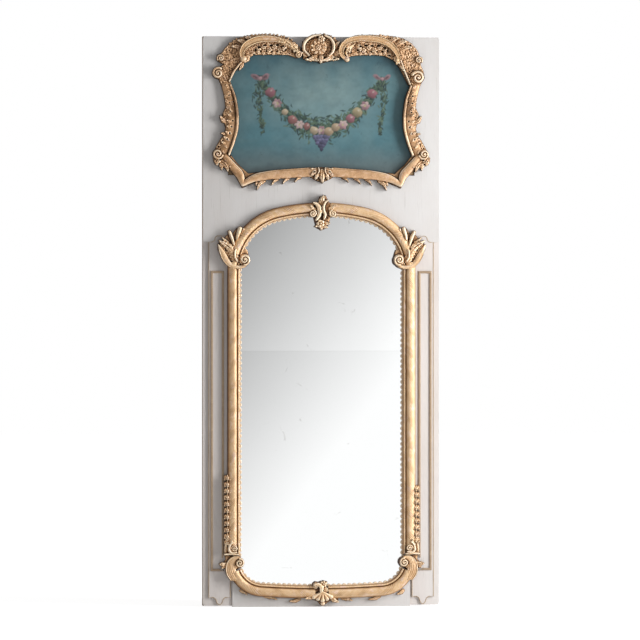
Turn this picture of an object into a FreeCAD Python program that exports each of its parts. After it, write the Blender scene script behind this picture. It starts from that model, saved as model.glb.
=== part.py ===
import FreeCAD, Part
import Sketcher
import math
import os
import re

from FreeCAD import Vector

# Trumeau mirror: a tall painted board panel with a carved and gilt frame round a
# painting above, and a carved and gilt arched frame round a two-plate mirror below.
# Millimetres. X runs to the right, Z up, and the panel faces -Y. The wall plane is
# y = 0, and the origin is at the foot of the panel, in the middle of its back.

doc = FreeCAD.newDocument("trumeau_mirror")

# ---------------------------------------------------------------- driving sizes

size_rows = (
    ("sight_half_width", 312, "half the visible mirror"),
    ("sight_bottom", 85, "foot of the visible mirror above the foot of the panel"),
    ("side_height", 1216, "foot of the visible mirror to where its arch starts"),
    ("shoulder_radius", 192, "small arcs of the arch"),
    ("crown_lift", 14, "crown of the arch above a half circle of that radius"),
    ("corner_radius", 85, "lower corners of the visible mirror"),
    ("corner_rise", 8, "bow of the lower edge"),
    ("frieze_height", 158, "crown of the visible mirror to the painting's opening"),
    ("painting_height", 470, "opening behind the painting's frame"),
    ("painting_notch", 17, "that opening beyond each long joint"),
    ("top_margin", 65, "boards above that opening"),
    ("joint_margin", 33, "long joints outside the visible mirror"),
    ("wing_width", 113, "long joint to outer edge"),
    ("wing_foot", 5, "wings end this far above the centre board"),
    ("corner_round", 10, "outer corners of the panel"),
    ("frame_thickness", 30, "back frame of stiles and rails"),
    ("board_thickness", 20, "centre boards and upper planks"),
    ("wing_thickness", 14, "ground boards of the wings"),
    ("joint_clearance", 0.2, "room round each tenon"),
    ("stile_lap", 14, "stiles over the edge of the mirror's backing"),
    ("rail_lap", 25, "rails over the edge of the backing and the stretcher"),
    ("middle_rail_width", 90, "rail behind the joint of the mirror plates"),
    ("muntin_width", 70, "upright bars between the rails"),
    ("tenon_thickness", 10, "tenons of the rails and muntins"),
    ("tenon_length", 30, "how far a rail enters its stile"),
    ("tenon_shoulder", 12, "rail edge to tenon edge"),
    ("bottom_board_lap", 12, "bottom board above the lower corners"),
    ("opening_margin", 8, "board opening outside the visible mirror"),
    ("rebate_margin", 20, "glass rebate outside the visible mirror"),
    ("glass_clearance", 2, "room round the plates in the rebate"),
    ("glass_setback", 8, "front of the glass behind the board face"),
    ("glass_thickness", 5, "mirror plates"),
    ("lower_plate_height", 902, "foot of the visible mirror to the joint of the plates"),
    ("moulding_inset", 4, "moulding starts outside the sight edge"),
    ("moulding_reach", 53, "outer edge of the moulding outside the sight edge"),
    ("bead_middle", 11, "bead outside the sight edge"),
    ("bead_radius", 4, "bead"),
    ("bead_level", 13, "bead centre above the boards"),
    ("quirk_width", 2, "groove between bead and big round"),
    ("torus_middle", 31, "big round of the moulding outside the sight edge"),
    ("torus_radius", 12, "big round of the moulding"),
    ("torus_level", 16, "centre of the big round above the boards"),
    ("cove_foot", 5, "outer edge of the moulding above the boards"),
    ("slip_thickness", 5, "scalloped strip inside the moulding"),
    ("scallop_pitch", 20, "one leaf tip of the strip"),
    ("scallop_depth", 4, "depth of a leaf tip"),
    ("wing_rise", 107, "top of the wing boards above the start of the arch"),
    ("strip_outer", 21, "sunk strip outside the wing panel"),
    ("strip_inner", 7, "sunk strip inside the wing panel"),
    ("shoulder_rise", 24, "ogee at the top of the wing panel"),
    ("shoulder_flat", 12, "flat before the ogee"),
    ("shoulder_run", 23, "width of the ogee"),
    ("bracket_height", 37, "foot of the wing panel beside the bracket"),
    ("bracket_drop", 29, "depth of the bracket"),
    ("bracket_half_width", 25, "half the bracket"),
    ("wing_moulding_foot", 139, "lower edge of the thin moulding"),
    ("wing_moulding_drop", 5, "thin moulding ends this far below the start of the arch"),
    ("wing_moulding_inset", 8, "thin moulding inside the panel's outer edge"),
    ("wing_moulding_width", 9, "stick of the thin moulding"),
    ("wing_moulding_height", 4, "thin moulding above the panel"),
    ("garland_width", 11.4, "string of bell flowers"),
    ("garland_gap", 0.3, "each side of that string"),
    ("garland_height", 228, "string of bell flowers"),
    ("canvas_thickness", 1.2, "primed canvas"),
    ("canvas_setback", 3, "canvas behind the board face"),
    ("stretcher_width", 50, "stretcher bars"),
    ("stretcher_clearance", 2, "room round the stretcher"),
    ("key_size", 16, "stretcher keys"),
    ("key_thickness", 4, "stretcher keys"),
    ("cartouche_bead", 9, "bead of the painting's frame along the painting"),
    ("carving_base", 16, "ground of the carved ornaments above the boards"),
    ("carving_relief", 20, "scrolls above that ground"),
    ("screw_diameter", 4, "frame screws"),
    ("screw_head", 8, "head of a frame screw"),
    ("screw_bite", 12, "how far a screw enters the boards"),
    ("screw_inset", 20, "outer row of screws from the edge"),
    ("hanger_spacing", 780, "between the two wall hangers"),
    ("hanger_drop", 190, "screw axis of the wall hangers below the top edge"),
    ("hanger_width", 40, "hanger plates"),
    ("hanger_length", 80, "hanger plates"),
    ("hanger_thickness", 2.5, "hanger plates"),
    ("hanger_hole", 10, "round hole that takes the wall screw's head"),
    ("hanger_slot", 5, "slot above that hole"),
    ("hanger_pocket", 12, "depth behind the plate for the screw head"),
)

sheet = doc.addObject("Spreadsheet::Sheet", "sizes")
for row, (alias, number, note) in enumerate(size_rows, start=1):
    sheet.set(f"A{row}", alias)
    sheet.set(f"B{row}", str(number))
    sheet.set(f"C{row}", note)
    sheet.setAlias(f"B{row}", alias)
doc.recompute()


def size(alias):
    return float(sheet.get(alias))


def linked(text):
    # an expression written with bare size names, tied to the sheet's cells
    return re.sub(r"[a-z][a-z_]+", lambda word: "sizes." + word.group(0), text)


def bind(thing, prop, text):
    thing.setExpression(prop, linked(text))


def reckon(text):
    # the value of a sum of size names, such as "bead_middle + bead_radius"
    total = 0.0
    sign = 1
    for word in text.split():
        if word in ("+", "-"):
            sign = 1 if word == "+" else -1
        else:
            total += sign * (size(word) if word[0].isalpha() else float(word))
    return total


# Heights and half widths that follow from the driving sizes, as sums of their names.

spring = "sight_bottom + side_height"
crown = f"{spring} + shoulder_radius + crown_lift"
painting_foot = f"{crown} + frieze_height"
painting_head = f"{painting_foot} + painting_height"
top = f"{painting_head} + top_margin"
seam = "sight_bottom + lower_plate_height"
centre_edge = "sight_half_width + joint_margin"
outer_edge = f"{centre_edge} + wing_width"
painting_edge = f"{centre_edge} + painting_notch"
stile_in = "sight_half_width + rebate_margin - stile_lap"
wing_head = f"{spring} + wing_rise"
frame_front = "-frame_thickness"
board_front = "-frame_thickness - board_thickness"
wing_front = "-frame_thickness - wing_thickness"

# ---------------------------------------------------------------- block helpers

pieces = []


def flat_sketch(body, role, name):
    # a sketch on one of the body's own origin planes
    plane = next(feature for feature in body.Origin.OriginFeatures if feature.Role == role)
    sketch = body.newObject("Sketcher::SketchObject", name)
    sketch.AttachmentSupport = [(plane, "")]
    sketch.MapMode = "FlatFace"
    return sketch


def dimension(sketch, text, *constraint):
    # a sketch dimension tied to the sheet
    held = sketch.addConstraint(Sketcher.Constraint(*constraint))
    sketch.setExpression(f"Constraints[{held}]", linked(text))


def set_place(thing, x, y, z):
    for axis, place in zip("xyz", (x, y, z)):
        bind(thing, f"Placement.Base.{axis}", place)


def keep(thing, label):
    thing.Label = label
    pieces.append(thing)
    return thing


def block(name, x, y, z):
    # a box between a low and a high face on each axis
    thing = doc.addObject("Part::Box", name)
    for prop, axis, (low, high) in zip(("Length", "Width", "Height"), "xyz", (x, y, z)):
        bind(thing, prop, f"({high}) - ({low})")
        bind(thing, f"Placement.Base.{axis}", low)
    return thing


def bore(name, radius, length, x, y, z):
    # a cylinder that runs towards +Y from (x, y, z)
    thing = doc.addObject("Part::Cylinder", name)
    bind(thing, "Radius", radius)
    bind(thing, "Height", length)
    thing.Placement.Rotation = FreeCAD.Rotation(Vector(1, 0, 0), -90)
    set_place(thing, x, y, z)
    return thing


def joined(name, things):
    thing = doc.addObject("Part::MultiFuse", name)
    thing.Shapes = things
    return thing


def without(name, base, tools):
    # base with every tool taken away
    thing = doc.addObject("Part::Cut", name)
    thing.Base = base
    thing.Tool = tools[0] if len(tools) == 1 else joined(name + "_tools", tools)
    return thing


def shared(name, base, tool):
    thing = doc.addObject("Part::Common", name)
    thing.Base = base
    thing.Tool = tool
    return thing


def mirrored(name, source):
    thing = doc.addObject("Part::Mirroring", name)
    thing.Source = source
    thing.Base = Vector(0, 0, 0)
    thing.Normal = Vector(1, 0, 0)
    return thing


def pair(stem, right):
    # a right-hand piece and its mirror image
    keep(right, stem + "_right")
    keep(mirrored(stem + "_mirror", right), stem + "_left")


def shaped(name, shape):
    thing = doc.addObject("Part::Feature", name)
    thing.Shape = shape
    return thing


# ---------------------------------------------------------------- outline helpers
# An outline is a list of points (x, z). An item (mx, mz, x, z) is an arc through
# (mx, mz) to (x, z).

board_face = size("frame_thickness") + size("board_thickness")


def spot(x, z, level=0.0):
    # level is the height above the board face, towards the viewer
    return Vector(x, -board_face - level, z)


def outline_face(outline, level=0.0):
    edges = []
    here = outline[0]
    for step in outline[1:] + [outline[0]]:
        end = step[-2:]
        if len(step) == 4:
            edges.append(Part.Arc(spot(*here, level), spot(*step[:2], level), spot(*end, level)).toShape())
        elif math.dist(here, end) > 1e-6:
            edges.append(Part.makeLine(spot(*here, level), spot(*end, level)))
        here = end
    return Part.Face(Part.Wire(edges))


def outward(solid):
    # a turned solid with its faces the right way out
    if solid.Volume < 0:
        solid.reverse()
    return solid


def plate(outline, low, high):
    return outward(outline_face(outline, low).extrude(Vector(0, low - high, 0)))


def bowed(start, end, sag):
    # an arc step from start to end, bowed to the left of the run by sag
    run = math.dist(start, end)
    middle_x = (start[0] + end[0]) / 2 - (end[1] - start[1]) / run * sag
    middle_z = (start[1] + end[1]) / 2 + (end[0] - start[0]) / run * sag
    return (middle_x, middle_z, end[0], end[1])


def petal(root, tip, width, low=0.0):
    # half a spindle lying on the ground, from root to tip
    run = math.dist(root, tip)
    axis = Vector((tip[0] - root[0]) / run, 0, (tip[1] - root[1]) / run)
    side = Vector(-axis.z, 0, axis.x) * (width / 2)
    start, end = spot(*root, low), spot(*tip, low)
    bulge = Part.Arc(start, (start + end) * 0.5 + side, end).toShape()
    return outward(Part.Face(Part.Wire([bulge, Part.makeLine(end, start)])).revolve(start, axis, 180))


def rib(start, middle, end, width, height, low=0.0):
    # a half-round rib along the arc start, middle, end
    arc = Part.Arc(spot(*start, low), spot(*middle, low), spot(*end, low)).toShape()
    circle = arc.Curve
    radial = (spot(*start, low) - circle.Center).normalize() * (width / 2)
    foot, head = spot(*start, low) - radial, spot(*start, low) + radial
    crown = Part.Arc(foot, spot(*start, low + height), head).toShape()
    section = Part.Face(Part.Wire([crown, Part.makeLine(head, foot)]))
    turn = math.degrees(arc.LastParameter - arc.FirstParameter)
    return outward(section.revolve(circle.Center, circle.Axis, turn))


def scroll(x, z, radius, wire, hand, low=0.0):
    # a volute: three half turns of rib that close in on a round eye.
    # hand 1 winds inward anticlockwise as seen from the front, -1 clockwise
    ribs = []
    reach = radius - wire / 2
    start, centre = x + reach, x
    heading = 1
    for half_turn in range(3):
        end = centre - heading * reach
        over = (centre, z + heading * hand * reach)
        ribs.append(rib((start, z), over, (end, z), wire, wire * 0.55, low))
        next_reach = reach * 0.62
        centre = end + heading * next_reach
        start, reach, heading = end, next_reach, -heading
    eye = Part.makeSphere(wire * 0.6, spot(centre, z, low), Vector(0, -1, 0), 0, 90, 360)
    drum = Part.makeCylinder(radius, low, spot(x, z), Vector(0, -1, 0))
    return [drum, eye] + ribs


def knob(x, z, radius, low=0.0):
    # a half ball on the ground
    return Part.makeSphere(radius, spot(x, z, low), Vector(0, -1, 0), 0, 90, 360)


def carved(outline, base, forms):
    # a carved piece: its ground plate with raised forms, all held inside its outline
    ground = plate(outline, 0, base)
    room = plate(outline, 0, base + size("carving_relief") * 2)
    raised = [form.common(room) for form in forms]
    return ground.fuse(raised).removeSplitter()


def flipped(outline):
    return [tuple(-value if i % 2 == 0 else value for i, value in enumerate(step)) for step in outline]


def moved(outline, dx, dz):
    return [tuple(value + (dx if i % 2 == 0 else dz) for i, value in enumerate(step)) for step in outline]


# ---------------------------------------------------------------- mirror outline
# The visible mirror is a three-centred arch over straight sides, with round lower
# corners and a slightly bowed foot. Every line of the frame, the boards and the
# glass is this outline, let out by its own margin.

half_sight = size("sight_half_width")
spring_height = reckon(spring)
sight_top = reckon(crown)
arch_height = sight_top - spring_height
shoulder_in = half_sight - size("shoulder_radius")
crown_radius = (shoulder_in ** 2 + arch_height ** 2 - size("shoulder_radius") ** 2) / (
    2 * size("crown_lift"))
crown_middle = (0.0, sight_top - crown_radius)
shoulder_middle = (shoulder_in, spring_height)
crown_angle = math.atan2(shoulder_middle[1] - crown_middle[1], shoulder_in)

corner_in = half_sight - size("corner_radius")
corner_lift = size("corner_radius") + size("corner_rise")
foot_radius = (corner_in ** 2 + corner_lift ** 2 - size("corner_radius") ** 2) / (2 * size("corner_rise"))
foot_middle = (0.0, size("sight_bottom") + foot_radius)
corner_middle = (corner_in, size("sight_bottom") + corner_lift)
foot_angle = math.atan2(corner_middle[1] - foot_middle[1], corner_in)


def on_circle(middle, radius, angle):
    return (middle[0] + radius * math.cos(angle), middle[1] + radius * math.sin(angle))


def mirror_stations(margin):
    # the arcs of the right half, from the foot to the crown: middle, radius, from, to
    return (
        (foot_middle, foot_radius + margin, -math.pi / 2, foot_angle),
        (corner_middle, size("corner_radius") + margin, foot_angle, 0.0),
        (shoulder_middle, size("shoulder_radius") + margin, 0.0, crown_angle),
        (crown_middle, crown_radius + margin, crown_angle, math.pi / 2),
    )


def mirror_outline(margin):
    right = [(0.0, size("sight_bottom") - margin)]
    for middle, radius, low, high in mirror_stations(margin):
        start = on_circle(middle, radius, low)
        if math.dist(start, right[-1][-2:]) > 1e-6:
            right.append(start)
        right.append(on_circle(middle, radius, (low + high) / 2) + on_circle(middle, radius, high))
    ends = [step[-2:] for step in right]
    left = []
    for index in range(len(right) - 1, 0, -1):
        end = (-ends[index - 1][0], ends[index - 1][1])
        if len(right[index]) == 4:
            left.append((-right[index][0], right[index][1]) + end)
        else:
            left.append(end)
    return right + left


def mirror_tool(name, margin, front, back):
    # the mirror outline as a block between two depths behind the board face
    return shaped(name, plate(mirror_outline(margin), -back, -front))


# ---------------------------------------------------------------- back frame

tenon_back = "-frame_thickness / 2 - tenon_thickness / 2"
tenon_front = "-frame_thickness / 2 + tenon_thickness / 2"

rails = {
    "back_rail_top": (f"{painting_head} - rail_lap", top),
    "back_rail_upper": (f"{crown} + rebate_margin - rail_lap", f"{painting_foot} + rail_lap"),
    "back_rail_middle": (f"{seam} - middle_rail_width / 2", f"{seam} + middle_rail_width / 2"),
    "back_rail_bottom": ("0", "sight_bottom - rebate_margin + rail_lap"),
}
hanger_height = f"{top} - hanger_drop"
outer_screws = f"{outer_edge} - screw_inset"
inner_screws = f"{centre_edge} + strip_inner * 2"
mirror_rows = ("sight_bottom / 2", f"({seam}) / 2", seam, f"({spring} + {seam}) / 2",
               f"({crown} + {painting_foot}) / 2")
upper_rows = (f"({painting_foot} + {painting_head}) / 2", f"{top} - top_margin / 2")
screw_places = [(outer_screws, row) for row in mirror_rows + upper_rows]
screw_places += [(inner_screws, row) for row in mirror_rows + upper_rows[1:]]


def back_frame():
    tools = []
    for name, (low, high) in rails.items():
        tools.append(block(
            name + "_mortise",
            (f"{stile_in} - 1", f"{stile_in} + tenon_length + joint_clearance"),
            (f"{tenon_back} - joint_clearance", f"{tenon_front} + joint_clearance"),
            (f"{low} + tenon_shoulder - joint_clearance", f"{high} - tenon_shoulder + joint_clearance")))
    tools.append(block(
        "hanger_recess",
        ("hanger_spacing / 2 - hanger_width / 2 - joint_clearance",
         "hanger_spacing / 2 + hanger_width / 2 + joint_clearance"),
        ("-hanger_thickness", "1"),
        (f"{hanger_height} - hanger_length / 2 - joint_clearance",
         f"{hanger_height} + hanger_length / 2 + joint_clearance")))
    tools.append(block(
        "hanger_pocket_space",
        ("hanger_spacing / 2 - hanger_hole * 0.75", "hanger_spacing / 2 + hanger_hole * 0.75"),
        ("-hanger_thickness - hanger_pocket", "1"),
        (f"{hanger_height} - hanger_length / 4", f"{hanger_height} + hanger_length / 4")))
    for index, (line, row) in enumerate(screw_places):
        tools.append(bore(f"stile_screw_hole_{index}", "screw_diameter / 2 + joint_clearance",
                          "frame_thickness + 2", line, "-frame_thickness - 1", row))
        tools.append(bore(f"stile_screw_sink_{index}", "screw_head / 2 + joint_clearance",
                          "screw_head / 2 + 1", line, "-screw_head / 2", row))
    stile = block("stile_blank", (stile_in, outer_edge), (frame_front, "0"), ("wing_foot", top))
    pair("back_stile", without("back_stile_cut", stile, tools))

    for name, (low, high) in rails.items():
        bar = block(name + "_bar", (f"-({stile_in})", stile_in), (frame_front, "0"), (low, high))
        tenon = block(
            name + "_tenon",
            (f"-({stile_in}) - tenon_length", f"{stile_in} + tenon_length"),
            (tenon_back, tenon_front), (f"{low} + tenon_shoulder", f"{high} - tenon_shoulder"))
        rail = joined(name + "_whole", [bar, tenon])
        holes = [block(f"{name}_{end}_muntin_mortise",
                       ("-muntin_width / 2 + tenon_shoulder - joint_clearance",
                        "muntin_width / 2 - tenon_shoulder + joint_clearance"),
                       (f"{tenon_back} - joint_clearance", f"{tenon_front} + joint_clearance"), reach)
                 for end, reach in muntin_ends(name, low, high)]
        keep(without(name + "_cut", rail, holes) if holes else rail, name)

    for name, low, high in (("back_muntin_lower", rails["back_rail_bottom"][1], rails["back_rail_middle"][0]),
                            ("back_muntin_upper", rails["back_rail_middle"][1], rails["back_rail_upper"][0])):
        bar = block(name + "_bar", ("-muntin_width / 2", "muntin_width / 2"), (frame_front, "0"), (low, high))
        tenon = block(name + "_tenon",
                      ("-muntin_width / 2 + tenon_shoulder", "muntin_width / 2 - tenon_shoulder"),
                      (tenon_back, tenon_front), (f"{low} - tenon_length", f"{high} + tenon_length"))
        keep(joined(name + "_whole", [bar, tenon]), name)


def muntin_ends(name, low, high):
    # where a rail takes the tenon of a muntin, below or above it
    depth = "tenon_length + joint_clearance"
    from_below = ("below", (f"{low} - 1", f"{low} + {depth}"))
    from_above = ("above", (f"{high} - ({depth})", f"{high} + 1"))
    return {"back_rail_upper": [from_below], "back_rail_middle": [from_below, from_above],
            "back_rail_bottom": [from_above]}.get(name, [])


# ---------------------------------------------------------------- front boards

garland_edge = "sight_half_width + moulding_reach + garland_gap + garland_width + garland_gap"


def centre_boards():
    opening = mirror_tool("board_opening", size("opening_margin"), -1, size("board_thickness") + 1)
    rebate = mirror_tool("glass_rebate", size("rebate_margin"), size("glass_setback"),
                         size("board_thickness") + 1)
    bottom_board_head = "sight_bottom + corner_radius + corner_rise + bottom_board_lap"
    spans = {
        "bottom_board": (f"-({centre_edge})", centre_edge, "0", bottom_board_head),
        "mirror_stile": ("0", centre_edge, bottom_board_head, spring),
        "arch_board": (f"-({centre_edge})", centre_edge, spring, painting_foot),
    }
    for name, (left, right, low, high) in spans.items():
        blank = block(name + "_blank", (left, right), (board_front, frame_front), (low, high))
        board = without(name + "_cut", blank, [opening, rebate])
        if name == "mirror_stile":
            pair(name, board)
        else:
            keep(board, name)
    keep(block("top_board_blank", (f"-({centre_edge})", centre_edge), (board_front, frame_front),
               (painting_head, top)), "top_board")


def screw_holes_in_boards(name):
    return [bore(f"{name}_hole_{index}", "screw_diameter / 2", "screw_bite + 1", line,
                 "-frame_thickness - screw_bite", row)
            for index, (line, row) in enumerate(screw_places)]


def panel_outline():
    # the raised field of the right wing, with an ogee at its top and a bracket at its foot
    outer = reckon(f"{outer_edge} - strip_outer")
    inner = reckon(f"{centre_edge} + strip_inner")
    shoulder = reckon(wing_head)
    crest = shoulder + size("shoulder_rise")
    rise_start = outer - size("shoulder_flat")
    rise_end = rise_start - size("shoulder_run")
    rise_middle = ((rise_start + rise_end) / 2, (shoulder + crest) / 2)
    foot = size("bracket_height")
    tip = (outer + inner) / 2
    half = size("bracket_half_width")
    low = foot - size("bracket_drop")
    sag = size("shoulder_run") / 8
    outline = [(inner, foot), (tip - half, foot)]
    outline.append(bowed((tip - half, foot), (tip - half / 2, (foot + low) / 2), sag))
    outline.append(bowed((tip - half / 2, (foot + low) / 2), (tip, low), -sag))
    outline.append(bowed((tip, low), (tip + half / 2, (foot + low) / 2), -sag))
    outline.append(bowed((tip + half / 2, (foot + low) / 2), (tip + half, foot), sag))
    outline.append((outer, foot))
    outline.append((outer, shoulder))
    outline.append((rise_start, shoulder))
    outline.append(bowed((rise_start, shoulder), rise_middle, sag))
    outline.append(bowed(rise_middle, (rise_end, crest), -sag))
    outline.append((inner, crest))
    return outline


def wings():
    ground = block("wing_blank", (centre_edge, outer_edge), (wing_front, frame_front),
                   ("wing_foot", wing_head))
    rounded = doc.addObject("Part::Fillet", "wing_rounded")
    rounded.Base = ground
    doc.recompute()
    rounded.Edges = [(corner_edge(ground, reckon(outer_edge), size("wing_foot")),
                      size("corner_round"), size("corner_round"))]
    pair("wing_board", without("wing_board_cut", rounded, screw_holes_in_boards("wing")))

    depth = size("board_thickness") - size("wing_thickness")
    panel = shaped("wing_panel_shape", plate(panel_outline(), -depth, 0))
    pair("wing_panel", panel)

    plank = block("plank_blank", (centre_edge, outer_edge), (board_front, frame_front),
                  (wing_head, top))
    rounded_plank = doc.addObject("Part::Fillet", "plank_rounded")
    rounded_plank.Base = plank
    doc.recompute()
    rounded_plank.Edges = [(corner_edge(plank, reckon(outer_edge), reckon(top)),
                            size("corner_round"), size("corner_round"))]
    notch = block("plank_notch", (f"{centre_edge} - 1", painting_edge),
                  (f"{board_front} - 1", f"{frame_front} + 1"), (painting_foot, painting_head))
    tools = [panel, notch] + screw_holes_in_boards("plank")
    pair("upper_plank", without("upper_plank_cut", rounded_plank, tools))


def corner_edge(thing, x, z):
    # the number of the edge along Y at the corner (x, z)
    for number, edge in enumerate(thing.Shape.Edges, start=1):
        ends = [(vertex.X, vertex.Z) for vertex in edge.Vertexes]
        if all(math.dist(end, (x, z)) < 1e-6 for end in ends):
            return number


def wing_mouldings(keep_out):
    outer = reckon(f"{outer_edge} - strip_outer - wing_moulding_inset")
    inner = reckon(garland_edge)
    low, high = size("wing_moulding_foot"), reckon(f"{spring} - wing_moulding_drop")
    stick = size("wing_moulding_width")
    height = size("wing_moulding_height")
    rim = plate([(inner, low), (outer, low), (outer, high), (inner, high)], 0, height)
    field = plate([(inner + stick, low + stick), (outer - stick, low + stick),
                   (outer - stick, high - stick), (inner + stick, high - stick)], 0, height)
    ring = rim.cut(field)
    front = [edge for edge in ring.Edges
             if all(abs(vertex.Y + board_face + height) < 1e-6 for vertex in edge.Vertexes)]
    ring = ring.makeFillet(height * 0.45, front)
    pair("wing_moulding", shaped("wing_moulding_shape", ring.cut(keep_out)))


# ---------------------------------------------------------------- mirror and painting


def mirror_plates():
    depth = size("glass_setback")
    back = depth + size("glass_thickness")
    glass = mirror_tool("glass_outline", size("rebate_margin") - size("glass_clearance"), depth, back)
    wide = centre_edge
    for name, low, high in (("mirror_plate_lower", "0", f"{seam} - joint_clearance / 2"),
                            ("mirror_plate_upper", f"{seam} + joint_clearance / 2", painting_foot)):
        span = block(name + "_span", (f"-({wide})", wide), (board_front, frame_front), (low, high))
        keep(shared(name + "_cut", glass, span), name)

    backing = mirror_tool("backing_outline", size("rebate_margin") - size("glass_clearance"), back,
                          size("board_thickness"))
    third = "(sight_half_width + rebate_margin) / 3"
    for name, left, right in (("mirror_backing_left", f"-({wide})", f"-{third} - joint_clearance"),
                              ("mirror_backing_centre", f"-{third}", third),
                              ("mirror_backing_right", f"{third} + joint_clearance", wide)):
        span = block(name + "_span", (left, right), (board_front, frame_front), ("0", painting_foot))
        keep(shared(name + "_cut", backing, span), name)


def painting():
    edge = f"{painting_edge} - stretcher_clearance"
    low = f"{painting_foot} + stretcher_clearance"
    high = f"{painting_head} - stretcher_clearance"
    front = f"{board_front} + canvas_setback"
    bars_front = f"{front} + canvas_thickness"
    keep(block("canvas_sheet", (f"-({edge})", edge), (front, bars_front), (low, high)), "painting_canvas")
    deep = (bars_front, frame_front)
    inner = f"{edge} - stretcher_width"
    keep(block("stretcher_bar_bottom", (f"-({edge})", edge), deep, (low, f"{low} + stretcher_width")),
         "stretcher_bottom")
    keep(block("stretcher_bar_top", (f"-({edge})", edge), deep, (f"{high} - stretcher_width", high)),
         "stretcher_top")
    upright = (f"{low} + stretcher_width", f"{high} - stretcher_width")
    pair("stretcher_side", block("stretcher_bar_side", (inner, edge), deep, upright))
    cross = ("-stretcher_width / 2", "stretcher_width / 2")
    keep(block("stretcher_bar_cross", cross, deep, upright), "stretcher_crossbar")
    keys = []
    for side, near, far in (("left", f"-({inner})", f"-({inner}) + key_size"),
                            ("right", f"{inner} - key_size", inner)):
        for end, foot, head in (("low", upright[0], f"{upright[0]} + key_size"),
                                ("high", f"{upright[1]} - key_size", upright[1])):
            keys.append(block(f"key_{side}_{end}", (near, far),
                              (f"{frame_front} - key_thickness", frame_front), (foot, head)))
    keep(joined("key_set", keys), "stretcher_keys")


# ---------------------------------------------------------------- mirror frame


# Each step of the moulding's section is (margin, level), outside the sight edge and
# above the boards. A step (middle, level, radius) is a half round over that middle.
moulding_steps = (
    ("moulding_inset", "0"),
    ("moulding_inset", "bead_level - bead_radius"),
    ("bead_middle", "bead_level", "bead_radius"),
    ("bead_middle + bead_radius + quirk_width", "bead_level - bead_radius"),
    ("torus_middle", "torus_level", "torus_radius"),
    ("moulding_reach", "cove_foot"),
    ("moulding_reach", "0"),
)


def section_corners():
    # the corners of the section in order, as (margin, level, the step they come from).
    # the corner that starts a half round is marked
    corners = []
    for step in moulding_steps:
        margin, level = reckon(step[0]), reckon(step[1])
        if len(step) == 3:
            radius = reckon(step[2])
            corners.append((margin - radius, level, step, True))
            corners.append((margin + radius, level, step, False))
        else:
            corners.append((margin, level, step, False))
    return corners


def moulding_section(place):
    # the section as a face. place turns a margin and a level into a point
    edges = []
    corners = section_corners()
    for corner, following in zip(corners, corners[1:] + corners[:1]):
        margin, level, step, starts_round = corner
        start, end = place(margin, level), place(*following[:2])
        if starts_round:
            over = place(reckon(step[0]), level + reckon(step[2]))
            edges.append(Part.Arc(start, over, end).toShape())
        else:
            edges.append(Part.makeLine(start, end))
    return Part.Face(Part.Wire(edges))


def side_moulding():
    # the straight run, drawn with the margin along X and the level along -Y
    body = doc.addObject("PartDesign::Body", "side_moulding_body")
    sketch = flat_sketch(body, "XY_Plane", "side_moulding_section")
    corners = section_corners()
    total = len(corners)
    for number, corner in enumerate(corners):
        margin, level, step, starts_round = corner
        following = corners[(number + 1) % total]
        if starts_round:
            circle = Part.Circle(Vector(reckon(step[0]), -level, 0), Vector(0, 0, 1), reckon(step[2]))
            sketch.addGeometry(Part.ArcOfCircle(circle, math.pi, 2 * math.pi))
        else:
            sketch.addGeometry(Part.LineSegment(Vector(margin, -level, 0),
                                                Vector(following[0], -following[1], 0)))
    for number in range(total):
        sketch.addConstraint(Sketcher.Constraint("Coincident", number, 2, (number + 1) % total, 1))
    for number, (margin, level, step, starts_round) in enumerate(corners):
        if len(step) == 2:
            dimension(sketch, step[0], "DistanceX", -1, 1, number, 1, margin)
        dimension(sketch, f"-({step[1]})", "DistanceY", -1, 1, number, 1, -level)
        if starts_round:
            dimension(sketch, step[0], "DistanceX", -1, 1, number, 3, reckon(step[0]))
            dimension(sketch, step[2], "Radius", number, reckon(step[2]))
    run = body.newObject("PartDesign::Pad", "side_moulding_run")
    run.Profile = sketch
    bind(run, "Length", "side_height - corner_radius - corner_rise")
    set_place(body, "sight_half_width", board_front, "sight_bottom + corner_radius + corner_rise")
    return body


def moulding_arc(middle, radius, low, high):
    # the moulding turned about an arc of the sight edge
    def place(margin, level):
        x, z = on_circle(middle, radius + margin, low)
        return spot(x, z, level)
    turn = math.degrees(high - low)
    return outward(moulding_section(place).revolve(spot(*middle), Vector(0, -1, 0), turn))


def shell_outline():
    # the shoulder shell, measured from the eye of its volute
    hub = (half_sight - 10, spring_height + 42)
    rays = [(-26, 4), (-18, -19, 2, -27), (16, -37), (36, -36, 56, -20), (78, 8, 92, 54),
            (86, 72, 72, 74), (62, 70), (60, 92), (54, 110, 42, 108), (30, 98), (22, 114, 8, 121),
            (-6, 110), (-14, 128, -34, 142), (-44, 128), (-40, 60, -26, 4)]
    return hub, moved(rays, *hub)


def shoulder_shell():
    hub, outline = shell_outline()
    base = size("carving_base")
    root = (hub[0] + 8, hub[1] + 22)
    forms = [petal(root, (hub[0] + x, hub[1] + z), width, base)
             for x, z, width in ((-34, 138, 26), (6, 120, 24), (46, 108, 24))]
    forms += [petal((hub[0] + 24, hub[1] - 30), (hub[0] + 88, hub[1] + 70), 34, base)]
    forms += scroll(hub[0], hub[1], 26, 12, 1, base)
    return carved(outline, base, forms)


def crest_outline():
    return moved([(-58, 8), (-64, 24, -50, 36), (-30, 40), (-26, 66, 0, 80), (26, 66, 30, 40), (50, 36),
                  (64, 24, 58, 8), (30, -6), (22, -44, 0, -56), (-22, -44, -30, -6)], 0, sight_top)


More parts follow.
